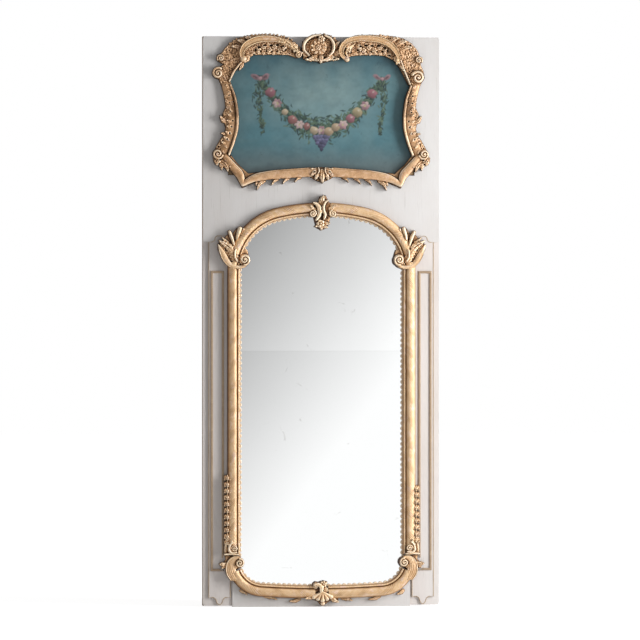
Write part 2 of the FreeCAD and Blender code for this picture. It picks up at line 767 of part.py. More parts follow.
def arch_crest():
    base = size("carving_base")
    forms = [petal((0, sight_top - 30), (0, sight_top + 78), 44, base), knob(0, sight_top - 33, 20, base)]
    for side in (-1, 1):
        forms += scroll(side * 40, sight_top + 18, 19, 9, side, base)
        forms.append(petal((side * 6, sight_top + 20), (side * 26, sight_top + 52), 18, base))
    return carved(crest_outline(), base, forms)


def corner_outline():
    # the scroll and leaves at the lower corner, from the eye of the volute
    hub = (half_sight + 8, size("sight_bottom") + corner_lift - 7)
    leaves = [(-26, 2), (-22, 22, 0, 33), (0, 66), (45, 66), (45, 32), (56, 30, 62, 16), (74, 16, 78, 2),
              (78, -20, 52, -28), (36, -40), (28, -26), (0, -22), (-20, -18, -26, 2)]
    return hub, moved(leaves, *hub)


def corner_scroll():
    hub, outline = corner_outline()
    base = size("carving_base")
    forms = [petal((hub[0] + 14, hub[1] - 6), (hub[0] + x, hub[1] + z), width, base)
             for x, z, width in ((76, 4, 22), (54, -26, 20), (58, 26, 18))]
    forms += scroll(hub[0], hub[1], 25, 11, 1, base)
    forms += scroll(hub[0] + 20, hub[1] + 50, 15, 7, -1, base)
    return carved(outline, base, forms)


def spray_outline():
    foot = size("sight_bottom") - size("moulding_reach")
    return moved([(-68, -2), (-50, -12, -28, -16), (-12, -18), (0, -28), (12, -18), (28, -16),
                  (50, -12, 68, -2), (60, 16), (30, 32), (26, 60, 0, 66), (-26, 60, -30, 32), (-60, 16)],
                 0, foot)


def bottom_spray():
    foot = size("sight_bottom") - size("moulding_reach")
    base = size("carving_base")
    root = (0, foot + 40)
    forms = [petal(root, (x, foot + z), width, base)
             for x, z, width in ((-66, 4, 24), (-34, -12, 22), (0, -26, 22), (34, -12, 22), (66, 4, 24))]
    forms.append(knob(0, foot + 46, 18, base))
    return carved(spray_outline(), base, forms)


def mirror_frame():
    shell = shell_outline()[1]
    corner = corner_outline()[1]
    deep = size("carving_relief") * 4
    keep_out = [plate(outline, -1, deep)
                for outline in (shell, crest_outline(), corner, spray_outline(), flipped(corner))]

    foot_arc, corner_arc, shoulder_arc, crown_arc = mirror_stations(0.0)
    arch = moulding_arc(*shoulder_arc).fuse(moulding_arc(*crown_arc)).cut(keep_out)
    pair("arch_moulding", shaped("arch_moulding_shape", largest(arch)))
    foot = moulding_arc(*foot_arc).fuse(moulding_arc(*corner_arc)).cut(keep_out)
    pair("bottom_moulding", shaped("bottom_moulding_shape", largest(foot)))

    ends = shaped("side_moulding_ends", keep_out[0].fuse(keep_out[2]))
    pair("side_moulding", without("side_moulding_cut", side_moulding(), [ends]))

    pair("shoulder_shell", shaped("shoulder_shell_shape", shoulder_shell()))
    pair("corner_scroll", shaped("corner_scroll_shape", corner_scroll()))
    keep(shaped("arch_crest_shape", arch_crest()), "arch_crest")
    keep(shaped("bottom_spray_shape", bottom_spray()), "bottom_spray")
    return plate(corner, -1, deep)


def largest(shape):
    return max(shape.Solids, key=lambda solid: solid.Volume)


def sight_slips():
    # thin strips with a row of leaf tips along the visible edge, glued to the edge of
    # the board opening behind the moulding
    inset, margin = size("scallop_depth"), size("opening_margin")
    pitch = size("scallop_pitch")
    slips = []
    for middle, radius, low, high in mirror_stations(0.0):
        count = max(2, round(radius * (high - low) / pitch))
        tips = [on_circle(middle, radius + inset, low)]
        for index in range(count):
            here = low + (high - low) * (index + 0.5) / count
            end = low + (high - low) * (index + 1) / count
            tips.append(on_circle(middle, radius, here) + on_circle(middle, radius + inset, end))
        outside = radius + margin
        back = [on_circle(middle, outside, high),
                on_circle(middle, outside, (low + high) / 2) + on_circle(middle, outside, low)]
        slips.append(tips + back)
    low, high = corner_middle[1], spring_height
    count = round((high - low) / pitch)
    tips = [(half_sight + inset, low)]
    for index in range(count):
        tips.append((half_sight, low + (high - low) * (index + 0.5) / count,
                     half_sight + inset, low + (high - low) * (index + 1) / count))
    slips.append(tips + [(half_sight + margin, high), (half_sight + margin, low)])
    thickness = size("slip_thickness")
    solids = [plate(outline, -thickness, 0) for outline in slips]
    solids += [plate(flipped(outline), -thickness, 0) for outline in slips]
    keep(shaped("sight_slip_set", Part.makeCompound(solids)), "sight_slips")


def husk_garlands():
    # bell flowers one under the other beside the foot of each side moulding
    hub = corner_outline()[0]
    width = size("garland_width")
    middle = reckon("sight_half_width + moulding_reach + garland_gap") + width / 2
    foot = hub[1] + 68
    count = round(size("garland_height") / (width * 2))
    pitch = size("garland_height") / count
    stem_half = width / 6
    stem = plate([(middle - stem_half, foot), (middle + stem_half, foot),
                  (middle + stem_half, foot + pitch * count), (middle - stem_half, foot + pitch * count)],
                 0, stem_half)
    husks = [petal((middle, foot + pitch * (index + 1)), (middle, foot + pitch * index), width)
             for index in range(count)]
    garland = stem.fuse(husks)
    both = Part.makeCompound([garland, garland.mirror(Vector(0, 0, 0), Vector(1, 0, 0))])
    keep(shaped("husk_garland_set", both), "husk_garlands")


def bottom_leaves():
    # small leaves that lie against the outer edge of the bottom moulding
    margin = size("moulding_reach") + 6
    leaves = []
    foot_arc, corner_arc = mirror_stations(margin)[:2]
    for arc, near, far in ((corner_arc, 0.35, 0.6), (foot_arc, 0.62, 0.86), (foot_arc, 0.3, 0.48)):
        middle, radius, low, high = arc
        root = on_circle(middle, radius, low + (high - low) * near)
        tip = on_circle(middle, radius + 3, low + (high - low) * far)
        leaves.append(petal(root, tip, 10))
        leaves.append(petal((-root[0], root[1]), (-tip[0], tip[1]), 10))
    keep(shaped("bottom_leaf_set", Part.makeCompound(leaves)), "bottom_leaves")


# ---------------------------------------------------------------- painting's frame
# Every place is measured from a corner or the middle of the painting's opening.

half_painting = reckon(painting_edge)
painting_low, painting_high = reckon(painting_foot), reckon(painting_head)

upper_cusp = (half_painting - 11, painting_high - 113)
lower_cusp = (half_painting - 10, painting_low + 82)
side_waist = (half_painting - 44.5, (painting_low + painting_high) / 2 - 12)
upper_outer = (half_painting + 32, painting_high - 63)
lower_outer = (half_painting + 16, painting_low + 43)
crest_foot = (74, painting_high - 23)
crest_head = (84, painting_high + 35)
clasp_high = (44, painting_low + 28.6)
clasp_low = (44, painting_low - 10)
lower_corner = (half_painting - 78, painting_low + 10)
lower_tip = (half_painting - 62, painting_low - 46)


def cartouche_side():
    # the upright of the right side, with a bead along the painting
    waist_out = (half_painting + 9, side_waist[1])
    outline = [upper_cusp, side_waist + lower_cusp, lower_outer,
               (half_painting + 66, painting_low + 65, half_painting + 30, painting_low + 111),
               waist_out + (half_painting + 20, painting_high - 133),
               (half_painting + 56, painting_high - 100) + upper_outer]
    base = size("carving_base")
    rim = size("cartouche_bead")
    forms = [rib((upper_cusp[0] + rim / 2, upper_cusp[1]), (side_waist[0] + rim / 2, side_waist[1]),
                 (lower_cusp[0] + rim / 2, lower_cusp[1]), rim, rim * 0.8, base)]
    middle = (side_waist[0] + waist_out[0] + rim) / 2
    for lift in (-80, -48, -16, 16, 48, 80):
        sway = lift ** 2 / 400
        forms.append(petal((middle + sway * 0.7, side_waist[1] + lift - 16),
                           (middle + sway, side_waist[1] + lift + 18), 26, base))
    forms += scroll(half_painting + 17, painting_high - 90, 29, 12, -1, base)
    forms += scroll(half_painting + 31, painting_low + 77, 32, 13, 1, base)
    return carved(outline, base, forms)


def upper_outline():
    high = painting_high
    return [upper_cusp, upper_outer, (half_painting + 42, high - 22, half_painting + 18, high - 4),
            (half_painting - 22, high + 50, half_painting - 87, high + 71),
            (half_painting - 172, high + 79, half_painting - 255, high + 64), crest_head, crest_foot,
            (92, high - 26), (130, high - 7), (half_painting - 92, high - 7),
            (half_painting - 42, high - 48) + upper_cusp]


def cartouche_upper():
    # the upper right corner, with leaves along its outer edge
    base = size("carving_base")
    forms = scroll(half_painting + 18, painting_high - 25, 18, 8, -1, base)
    for x, z, tip_x, tip_z, width in ((0, -60, 20, 0, 30), (-14, -30, 4, 26, 30), (-40, -2, -22, 46, 32),
                                      (-66, 22, -60, 66, 30), (-10, -100, -14, -40, 26)):
        forms.append(petal((half_painting + x, painting_high + z),
                           (half_painting + tip_x, painting_high + tip_z), width, base))
    return carved(upper_outline(), base, forms)


def top_scroll(ends):
    # the long C scroll on the ground above the flowers
    start, lift, shoulder, crest, end = [(x, painting_high + z) for x, z in ends]
    base = size("carving_base")
    height = size("carving_relief")
    bar = rib(start, lift, shoulder, 24, height * 0.8, base)
    bar = bar.fuse(rib(shoulder, crest, end, 28, height, base))
    return bar.fuse([knob(start[0], start[1], 15, base), knob(end[0], end[1], 16, base),
                     knob(shoulder[0], shoulder[1], 16, base)])


def flower_cluster(first, last):
    # half-round blossoms under a C scroll
    base = size("carving_base")
    count = 6
    step = (last - first) / (count - 1)
    return [knob(first + step * index, painting_high + (6 if index % 2 else 11), 11, base)
            for index in range(count)]


def cartouche_crest():
    # the shell and leaves over the middle of the painting
    high = painting_high
    base = size("carving_base")
    left_foot, left_head = (-crest_foot[0], crest_foot[1]), (-crest_head[0], crest_head[1])
    outline = [left_foot, left_head, (-52, high + 78, 0, high + 83), (52, high + 78) + crest_head, crest_foot,
               (40, high - 36, 0, high - 41), (-40, high - 36) + left_foot]
    forms = [petal((0, high - 6), (x, high + z), width, base)
             for x, z, width in ((-64, 56, 30), (-34, 76, 32), (0, 83, 34), (34, 76, 32), (64, 56, 30))]
    forms += [knob(0, high + 22, 24, base), petal((0, high + 6), (0, high - 38), 36, base)]
    forms += [petal((side * 14, high), (side * 70, high - 18), 26, base) for side in (-1, 1)]
    return carved(outline, base, forms)


def cartouche_lower():
    # the smooth moulding of the lower right corner, with small leaves under it
    base = size("carving_base")
    outline = [lower_cusp, (half_painting - 52, painting_low + 57) + lower_corner,
               (half_painting - 212, painting_low + 23) + clasp_high, clasp_low,
               (half_painting - 212, painting_low - 15) + lower_tip,
               (half_painting - 26, painting_low + 3) + lower_outer]
    elbow = (half_painting - 70, painting_low - 18)
    forms = [rib((lower_cusp[0] + 12, lower_cusp[1] - 16), (half_painting - 39, painting_low + 33),
                 elbow, 34, 14, base),
             rib(elbow, (half_painting - 212, painting_low + 4), (clasp_low[0], painting_low + 9),
                 30, 14, base)]
    drips = []
    for share in (0.17, 0.36, 0.55, 0.74):
        x = lower_tip[0] + share * (clasp_low[0] - lower_tip[0])
        edge = lower_tip[1] + share * (clasp_low[1] - lower_tip[1]) + 40 * share * (1 - share)
        drips.append(petal((x - 8, edge + 5), (x + 4, edge - 11), 9))
    return carved(outline, base, forms).fuse(drips)


def cartouche_clasp():
    # the leaf over the joint at the foot
    base = size("carving_base")
    low = painting_low
    outline = [(-clasp_high[0], clasp_high[1]), (-clasp_low[0], clasp_low[1]), (-30, low - 24), (0, low - 32),
               (30, low - 24), clasp_low, clasp_high, (0, low + 32, -clasp_high[0], clasp_high[1])]
    forms = [petal((0, low + 32), (x, low + z), width, base)
             for x, z, width in ((-38, -8, 24), (-20, -24, 24), (0, -31, 24), (20, -24, 24), (38, -8, 24))]
    return carved(outline, base, forms)


def painting_frame():
    pair("cartouche_side", shaped("cartouche_side_shape", cartouche_side()))
    pair("cartouche_lower", shaped("cartouche_lower_shape", cartouche_lower()))
    keep(shaped("cartouche_crest_shape", cartouche_crest()), "cartouche_crest")
    keep(shaped("cartouche_clasp_shape", cartouche_clasp()), "cartouche_clasp")
    right_corner = cartouche_upper()
    left_corner = right_corner.mirror(Vector(0, 0, 0), Vector(1, 0, 0))
    spans = (
        ("right", right_corner, (134, 240), ((100, -14), (84, 22), (108, 50), (200, 60), (300, -24))),
        ("left", left_corner, (-250, -140), ((-285, -16), (-306, 16), (-276, 46), (-200, 62), (-136, 46))),
    )
    for side, corner, flowers, ends in spans:
        bar = top_scroll(ends)
        blossomed = corner.fuse(flower_cluster(*flowers)).cut(bar)
        keep(shaped(f"cartouche_upper_{side}_shape", blossomed), f"cartouche_upper_{side}")
        keep(shaped(f"top_scroll_{side}_shape", bar), f"top_scroll_{side}")


# ---------------------------------------------------------------- metal fittings


def hanger_plate():
    # a keyhole plate about its screw's axis: a round hole that takes the head, and a
    # slot above it
    body = doc.addObject("PartDesign::Body", "hanger_body")
    outline = flat_sketch(body, "XZ_Plane", "hanger_outline")
    half_width, half_length = size("hanger_width") / 2, size("hanger_length") / 2
    corners = ((-1, -1), (1, -1), (1, 1), (-1, 1))
    for corner, following in zip(corners, corners[1:] + corners[:1]):
        outline.addGeometry(Part.LineSegment(
            Vector(corner[0] * half_width, corner[1] * half_length, 0),
            Vector(following[0] * half_width, following[1] * half_length, 0)))
    for number, (across, up) in enumerate(corners):
        outline.addConstraint(Sketcher.Constraint("Coincident", number - 1 if number else 3, 2, number, 1))
        dimension(outline, f"{across} * hanger_width / 2", "DistanceX", -1, 1, number, 1,
                  across * half_width)
        dimension(outline, f"{up} * hanger_length / 2", "DistanceY", -1, 1, number, 1, up * half_length)
    pad = body.newObject("PartDesign::Pad", "hanger_pad")
    pad.Profile = outline
    bind(pad, "Length", "hanger_thickness")

    entry = flat_sketch(body, "XZ_Plane", "hanger_entry")
    drop, radius = size("hanger_hole"), size("hanger_hole") / 2
    entry.addGeometry(Part.Circle(Vector(0, -drop, 0), Vector(0, 0, 1), radius))
    entry.addConstraint(Sketcher.Constraint("PointOnObject", 0, 3, -2))
    dimension(entry, "hanger_hole", "DistanceY", 0, 3, -1, 1, drop)
    dimension(entry, "hanger_hole / 2", "Radius", 0, radius)

    slot = flat_sketch(body, "XZ_Plane", "hanger_slot_outline")
    seat = size("hanger_slot") / 2
    slot.addGeometry(Part.ArcOfCircle(Part.Circle(Vector(0, 0, 0), Vector(0, 0, 1), seat), 0, math.pi))
    slot.addGeometry(Part.LineSegment(Vector(-seat, 0, 0), Vector(-seat, -drop, 0)))
    slot.addGeometry(Part.LineSegment(Vector(-seat, -drop, 0), Vector(seat, -drop, 0)))
    slot.addGeometry(Part.LineSegment(Vector(seat, -drop, 0), Vector(seat, 0, 0)))
    for here, there in (((0, 2), (1, 1)), ((1, 2), (2, 1)), ((2, 2), (3, 1)), ((3, 2), (0, 1)),
                        ((0, 3), (-1, 1))):
        slot.addConstraint(Sketcher.Constraint("Coincident", *here, *there))
    slot.addConstraint(Sketcher.Constraint("PointOnObject", 0, 1, -1))
    slot.addConstraint(Sketcher.Constraint("PointOnObject", 0, 2, -1))
    slot.addConstraint(Sketcher.Constraint("Vertical", 1))
    slot.addConstraint(Sketcher.Constraint("Vertical", 3))
    slot.addConstraint(Sketcher.Constraint("Horizontal", 2))
    dimension(slot, "hanger_hole", "DistanceY", 1, 2, -1, 1, drop)
    dimension(slot, "hanger_slot / 2", "Radius", 0, seat)

    for profile in (entry, slot):
        pocket = body.newObject("PartDesign::Pocket", profile.Name + "_pocket")
        pocket.Profile = profile
        pocket.Type = "ThroughAll"
        pocket.Reversed = True
    set_place(body, "hanger_spacing / 2", "0", hanger_height)
    return body


def fittings():
    plate_right = hanger_plate()
    plates = doc.addObject("Part::Compound", "hanger_set")
    plates.Links = [plate_right, mirrored("hanger_mirror", plate_right)]
    keep(plates, "hanger_plates")

    screws = []
    for index, (line, row) in enumerate(screw_places):
        for side in ("", "-"):
            stem = f"screw_{index}_{'left' if side else 'right'}"
            shank = bore(stem + "_shank", "screw_diameter / 2", "frame_thickness + screw_bite",
                         f"{side}({line})", "-frame_thickness - screw_bite", row)
            head = bore(stem + "_head", "screw_head / 2", "screw_head / 2",
                        f"{side}({line})", "-screw_head / 2", row)
            screws.append(joined(stem, [shank, head]))
    group = doc.addObject("Part::Compound", "screw_set")
    group.Links = screws
    keep(group, "frame_screws")


# ---------------------------------------------------------------- build and write

back_frame()
centre_boards()
wings()
mirror_plates()
painting()
corner_room = mirror_frame()
wing_mouldings(corner_room)
sight_slips()
husk_garlands()
bottom_leaves()
painting_frame()
fittings()
doc.recompute()

faults = []
for thing in doc.Objects:
    if "Invalid" in thing.State or "Error" in thing.State:
        faults.append(f"{thing.Name}: {thing.State}")
for piece in pieces:
    if piece.Shape.isNull() or not piece.Shape.isValid() or not piece.Shape.Solids:
        faults.append(f"{piece.Label}: no valid solid")
if faults:
    raise RuntimeError("; ".join(faults))

os.makedirs("parts", exist_ok=True)
for piece in pieces:
    piece.Shape.exportStep(os.path.join("parts", piece.Label + ".step"))
    box = piece.Shape.BoundBox
    print(f"{piece.Label:24s} solids {len(piece.Shape.Solids):3d}  volume {piece.Shape.Volume / 1000:9.1f}"
          f"  x {box.XMin:.1f} {box.XMax:.1f}  y {box.YMin:.1f} {box.YMax:.1f}"
          f"  z {box.ZMin:.1f} {box.ZMax:.1f}")
print(len(pieces), "pieces")
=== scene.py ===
import math

import bpy
import numpy as np
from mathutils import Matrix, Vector


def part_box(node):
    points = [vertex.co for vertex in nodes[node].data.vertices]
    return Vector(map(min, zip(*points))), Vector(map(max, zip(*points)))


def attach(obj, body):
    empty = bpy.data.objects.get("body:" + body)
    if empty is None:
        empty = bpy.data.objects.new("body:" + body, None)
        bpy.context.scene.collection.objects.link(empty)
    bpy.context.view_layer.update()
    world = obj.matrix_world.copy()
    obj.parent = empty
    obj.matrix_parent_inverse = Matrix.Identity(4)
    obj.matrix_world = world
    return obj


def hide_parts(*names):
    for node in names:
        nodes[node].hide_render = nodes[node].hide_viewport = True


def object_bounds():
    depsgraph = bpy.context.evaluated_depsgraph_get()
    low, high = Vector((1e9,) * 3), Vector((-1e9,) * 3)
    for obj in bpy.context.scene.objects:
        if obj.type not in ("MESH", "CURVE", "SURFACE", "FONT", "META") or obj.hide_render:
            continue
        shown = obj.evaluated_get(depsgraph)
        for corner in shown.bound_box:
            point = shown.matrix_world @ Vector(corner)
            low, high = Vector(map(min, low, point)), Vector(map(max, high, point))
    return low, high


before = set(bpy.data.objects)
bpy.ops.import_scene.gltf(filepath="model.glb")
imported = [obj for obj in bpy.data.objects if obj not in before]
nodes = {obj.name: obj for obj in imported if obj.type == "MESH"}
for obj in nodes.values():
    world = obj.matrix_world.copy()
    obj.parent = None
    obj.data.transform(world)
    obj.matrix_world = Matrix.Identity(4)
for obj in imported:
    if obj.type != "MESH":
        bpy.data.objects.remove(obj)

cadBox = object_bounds()
mm = 0.001


def span(node):
    # edges of a CAD piece in millimetres
    low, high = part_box(node)
    return {"left": low.x / mm, "right": high.x / mm, "front": low.y / mm, "back": high.y / mm,
            "foot": low.z / mm, "top": high.z / mm}


boardFace = -span("arch_board")["front"]      # front of the boards, in mm off the wall
sight = {                                     # the visible mirror
    "half": span("mirror_stile_right")["left"] - 8,
    "spring": span("arch_board")["foot"],
    "crown": span("mirror_plate_upper")["top"] - 18,
    "foot": span("mirror_plate_lower")["foot"] + 18,
    "shoulderRadius": 192,
    "cornerRadius": 85,
    "cornerRise": 8,
}

# carving on a grid: heights above the boards, and how far inside the carving a spot is


def fade(value, low, high):
    # 0 below low, 1 above high, smooth between
    share = np.clip((value - low) / (high - low), 0, 1)
    return share * share * (3 - 2 * share)


def bump(value, middle, width):
    return np.exp(-((value - middle) / width) ** 2)


def grain(x, z, size, seed):
    # smooth noise from -1 to 1, with lumps of the given size
    table = np.random.default_rng(seed).uniform(-1, 1, (61, 61))
    column, row = np.floor(x / size).astype(int), np.floor(z / size).astype(int)
    across, up = x / size - column, z / size - row
    across, up = across * across * (3 - 2 * across), up * up * (3 - 2 * up)
    low = table[row % 61, column % 61] * (1 - across) + table[row % 61, (column + 1) % 61] * across
    high = table[(row + 1) % 61, column % 61] * (1 - across) + table[(row + 1) % 61,
        (column + 1) % 61] * across
    return low * (1 - up) + high * up


def blurred(field, reach):
    # a round blur by that many cells
    taps = np.arange(-int(reach * 2.5), int(reach * 2.5) + 1)
    weights = np.exp(-(taps / reach) ** 2 / 2)
    weights /= weights.sum()
    for axis in (0, 1):
        padded = np.pad(field, [(len(taps) // 2,) * 2 if a == axis else (0, 0) for a in (0, 1)],
                        mode="edge")
        size = field.shape[axis]
        field = sum(weight * np.take(padded, np.arange(k, k + size), axis=axis)
                    for k, weight in enumerate(weights))
    return field


def newBlock(left, right, foot, top, step=1.0):
    # a blank of wood to carve in
    x, z = np.meshgrid(np.arange(left, right + step, step), np.arange(foot, top + step, step))
    # pitShade holds the pits' painted shadow
    return {"x": x, "z": z, "left": left, "foot": foot, "step": step,
            "level": np.zeros(x.shape), "cover": np.full(x.shape, -9.0), "pitShade": np.zeros(x.shape)}


def window(block, points, margin):
    # the part of the grid around some points
    low, high = np.min(points, axis=0) - margin, np.max(points, axis=0) + margin
    columns = [int((value - block["left"]) / block["step"]) for value in (low[0], high[0])]
    rows = [int((value - block["foot"]) / block["step"]) for value in (low[1], high[1])]
    return (slice(max(rows[0], 0), max(rows[1] + 2, 0)), slice(max(columns[0], 0), max(columns[1] + 2, 0)))


def stamp(block, view, inside, level):
    # lays a form on the block. the higher one shows
    here, cover = block["level"][view], block["cover"][view]
    wanted = inside > 0
    here[wanted] = np.maximum(here, level)[wanted]
    np.maximum(cover, inside, out=cover)


def smoothLine(points, spacing=1.2):
    # a smooth line through points
    points = np.array(points, float)
    ends = np.vstack([2 * points[0] - points[1], points, 2 * points[-1] - points[-2]])
    line = []
    for a, b, c, d in zip(ends, ends[1:], ends[2:], ends[3:]):
        count = max(2, int(np.linalg.norm(c - b) / spacing))
        for k in range(count):
            t = k / count
            line.append(0.5 * (2 * b + (c - a) * t + (2 * a - 5 * b + 4 * c - d) * t * t
                               + (3 * b - a - 3 * c + d) * t ** 3))
    line.append(points[-1])
    return np.array(line)


def spiralLine(x, z, radius, turns, start, hand, inner=0.2):
    # winds inward from the angle start, anticlockwise for hand 1
    count = int(turns * 60)
    share = np.linspace(0, 1, count)
    reach = radius * (1 - (1 - inner) * share ** 0.9)
    angle = start + hand * share * turns * 2 * math.pi
    return np.stack([x + reach * np.cos(angle), z + reach * np.sin(angle)], axis=1)


def alongLine(block, line, margin):
    # for each spot near a line: the share along it and the signed distance from it
    view = window(block, line, margin)
    x, z = block["x"][view], block["z"][view]
    nearest, place = np.full(x.shape, 1e12), np.zeros(x.shape, int)
    for first in range(0, len(line), 24):
        part = line[first:first + 24]
        gaps = (x[..., None] - part[:, 0]) ** 2 + (z[..., None] - part[:, 1]) ** 2
        best = gaps.argmin(axis=2)
        least = np.take_along_axis(gaps, best[..., None], 2)[..., 0]
        closer = least < nearest
        nearest[closer], place[closer] = least[closer], best[closer] + first
    heading = np.gradient(line, axis=0)
    side = heading[place, 0] * (z - line[place, 1]) - heading[place, 1] * (x - line[place, 0])
    return view, place / (len(line) - 1), np.sqrt(nearest) * np.where(side < 0, -1, 1)


def bandShape(u, kind):
    # cross-sections from -1 to 1, height from 0 to 1. u is positive on the inner side
    edge, arch = np.abs(u), np.sqrt(np.clip(1 - u * u, 0, 1))
    if kind == "grooved":
        # a broad face between two rims, with fine lines
        face = 0.62 + 0.16 * arch + 0.26 * bump(edge, 0.74, 0.13)
        return face - 0.07 * bump(edge, 0.5, 0.07) - 0.05 * bump(edge, 0.18, 0.07) - 0.4 * fade(edge, 0.86,
            1)
    if kind == "smooth":
        # a plain round face with a fine groove along its edges
        return 0.5 + 0.5 * arch - 0.12 * bump(u, -0.72, 0.06) - 0.08 * bump(u, 0.8, 0.05)
    if kind == "veined":
        return 0.5 + 0.4 * arch + 0.2 * bump(u, -0.86, 0.12) - 0.08 * np.cos(u * 9) ** 6
    return 0.3 + 0.7 * arch


def strap(block, line, width, foot, rise, kind="round", flip=1, lift=(1, 1)):
    # a carved band along a line. width runs from the first value to the last
    widths = np.interp(np.linspace(0, 1, 60), np.linspace(0, 1, len(width)), width)
    view, share, off = alongLine(block, line, max(width) / 2 + 2)
    half = np.interp(share, np.linspace(0, 1, 60), widths) / 2
    u = off / np.maximum(half, 0.3)
    height = foot + rise * bandShape(np.clip(u * flip, -1, 1), kind) * np.interp(share, [0, 1], lift)
    stamp(block, view, half - np.abs(off), height)


def leaf(block, root, tip, width, foot, rise, bend=0.0, lobes=4, notch=0.3):
    # an acanthus leaf with a midrib, side veins and a curled tip. bend bows it to the left
    root, tip = np.array(root, float), np.array(tip, float)
    run = tip - root
    normal = np.array([-run[1], run[0]]) / np.linalg.norm(run)
    middle = (root + tip) / 2 + normal * bend
    line = smoothLine([root, middle, tip], 1.0)
    view, share, off = alongLine(block, line, width / 2 + 3)
    outline = np.sin(math.pi * np.clip(share, 0, 1) ** 0.62) ** 0.75
    tooth = (share * lobes) % 1.0
    outline = outline * (1 - notch * (1 - np.sin(math.pi * tooth ** 0.6)) * fade(share, 0.06, 0.2))
    half = width / 2 * outline
    u = np.clip(off / np.maximum(half, 0.4), -1, 1)
    side = np.abs(off) / (width / 2)
    swell = 0.5 + 0.5 * fade(share, 0.0, 0.6) + 0.3 * bump(share, 0.86, 0.13) - 0.25 * fade(share, 0.93, 1)
    belly = 1 - 0.42 * u * u - 0.3 * bump(off, 0, width * 0.055)
    veins = ((share * lobes - 0.55 * side) % 1.0)
    belly -= 0.2 * bump(np.minimum(veins, 1 - veins), 0, 0.13) * fade(np.abs(u), 0.15, 0.5)
    stamp(block, view, half - np.abs(off), foot + rise * swell * belly)


def dome(block, x, z, radius, foot, rise):
    view = window(block, [(x, z)], radius + 2)
    away = np.hypot(block["x"][view] - x, block["z"][view] - z)
    shape = 0.25 + 0.75 * np.sqrt(np.clip(1 - (away / radius) ** 2, 0, 1))
    stamp(block, view, radius - away, foot + rise * shape)


def blossom(block, x, z, radius, foot, rise, petals=5, turn=0.0):
    view = window(block, [(x, z)], radius + 2)
    dx, dz = block["x"][view] - x, block["z"][view] - z
    away, angle = np.hypot(dx, dz), np.arctan2(dz, dx) + turn
    petal = np.abs(np.cos(angle * petals / 2)) ** 0.6
    edge = radius * (0.68 + 0.32 * petal)
    share = away / edge
    height = 0.35 + 0.5 * np.sqrt(np.clip(1 - share ** 2, 0, 1)) * (0.6 + 0.4 * petal)
    height += 0.45 * bump(away, 0, radius * 0.2) - 0.3 * bump(away, radius * 0.34, radius * 0.09)
    stamp(block, view, edge - away, foot + rise * height)


def volute(block, x, z, radius, start, hand, foot, rise, width=0.42, turns=1.6):
    # a scroll end that winds in to a round eye
    line = spiralLine(x, z, radius * (1 - width / 2), turns, start, hand)
    dome(block, x, z, radius * 0.86, foot, rise * 0.5)
    strap(block, line, [radius * width * 1.1, radius * width * 0.8], foot, rise, lift=(0.85, 1.1))
    dome(block, x, z, radius * 0.22, foot, rise * 1.15)


def insidePolygon(x, z, outline):
    # distance inside a closed outline, negative outside
    outline = np.array(outline, float)
    inside = np.zeros(x.shape, bool)
    nearest = np.full(x.shape, 1e9)
    for (ax, az), (bx, bz) in zip(outline, np.roll(outline, -1, axis=0)):
        share = np.clip(((x - ax) * (bx - ax) + (z - az) * (bz - az)) / ((bx - ax) ** 2 + (bz - az) ** 2),
                        0, 1)
        nearest = np.minimum(nearest, np.hypot(x - ax - share * (bx - ax), z - az - share * (bz - az)))
        crosses = (az > z) != (bz > z)
        slope = (bx - ax) / np.where(bz == az, 1e-9, bz - az)
        inside ^= crosses & (x < ax + slope * (z - az))
    return np.where(inside, nearest, -nearest)


def field(block, outline, foot, texture, edge=4.0):
    # a flat ground inside an outline, rounded at its edge
    view = window(block, outline, 3)
    x, z = block["x"][view], block["z"][view]
    inside = insidePolygon(x, z, outline)
    height = foot - 3 * (1 - fade(inside, 0, edge))
    stamp(block, view, inside, height + texture(x, z) * fade(inside, 1, 5))


def flippedBlock(block):
    turned = dict(block)
    turned["x"] = -block["x"][:, ::-1]
    for key in ("z", "level", "cover", "pitShade"):
        turned[key] = block[key][:, ::-1].copy()
    turned["left"] = turned["x"].min()
    return turned


# from the grid to a mesh


def newPiece(name, points, faces, node, material, hollow=None, sharp=50):
    # a closed mesh on the one body, in place of a CAD node if one is named
    mesh = bpy.data.meshes.new(name)
    counts = np.array([len(face) for face in faces])
    loops = np.concatenate([np.asarray(face) for face in faces])
    mesh.vertices.add(len(points))
    mesh.vertices.foreach_set("co", (np.asarray(points, float) * mm).ravel())
    mesh.loops.add(len(loops))
    mesh.loops.foreach_set("vertex_index", loops.astype(np.int32))
    mesh.polygons.add(len(counts))
    mesh.polygons.foreach_set("loop_start", (np.cumsum(counts) - counts).astype(np.int32))
    mesh.update(calc_edges=True)
    mesh.validate()
    mesh.polygons.foreach_set("use_smooth", np.ones(len(mesh.polygons), bool))
    mesh.set_sharp_from_angle(angle=math.radians(sharp))
    if hollow is not None:
        mesh.attributes.new("hollow", "FLOAT", "POINT").data.foreach_set("value", hollow.astype(np.float32))
    mesh.materials.append(material)
    piece = bpy.data.objects.new(name, mesh)
    bpy.context.scene.collection.objects.link(piece)
    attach(piece, "root")
    if node:
        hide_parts(node)
    return piece


def hollows(block):
    # 0 in the hollows, 0.5 on even ground, 1 on the ridges
    level, step = block["level"], block["step"]
    carved = (block["cover"] > 0) + 0.001
    fine = (level - blurred(level * carved, 2.2 / step) / blurred(carved, 2.2 / step)) / 2.4
    broad = (level - blurred(level * carved, 6.5 / step) / blurred(carved, 6.5 / step)) / 9
    return np.clip(0.5 + 0.5 * (0.75 * fine + 0.55 * broad), 0, 1)


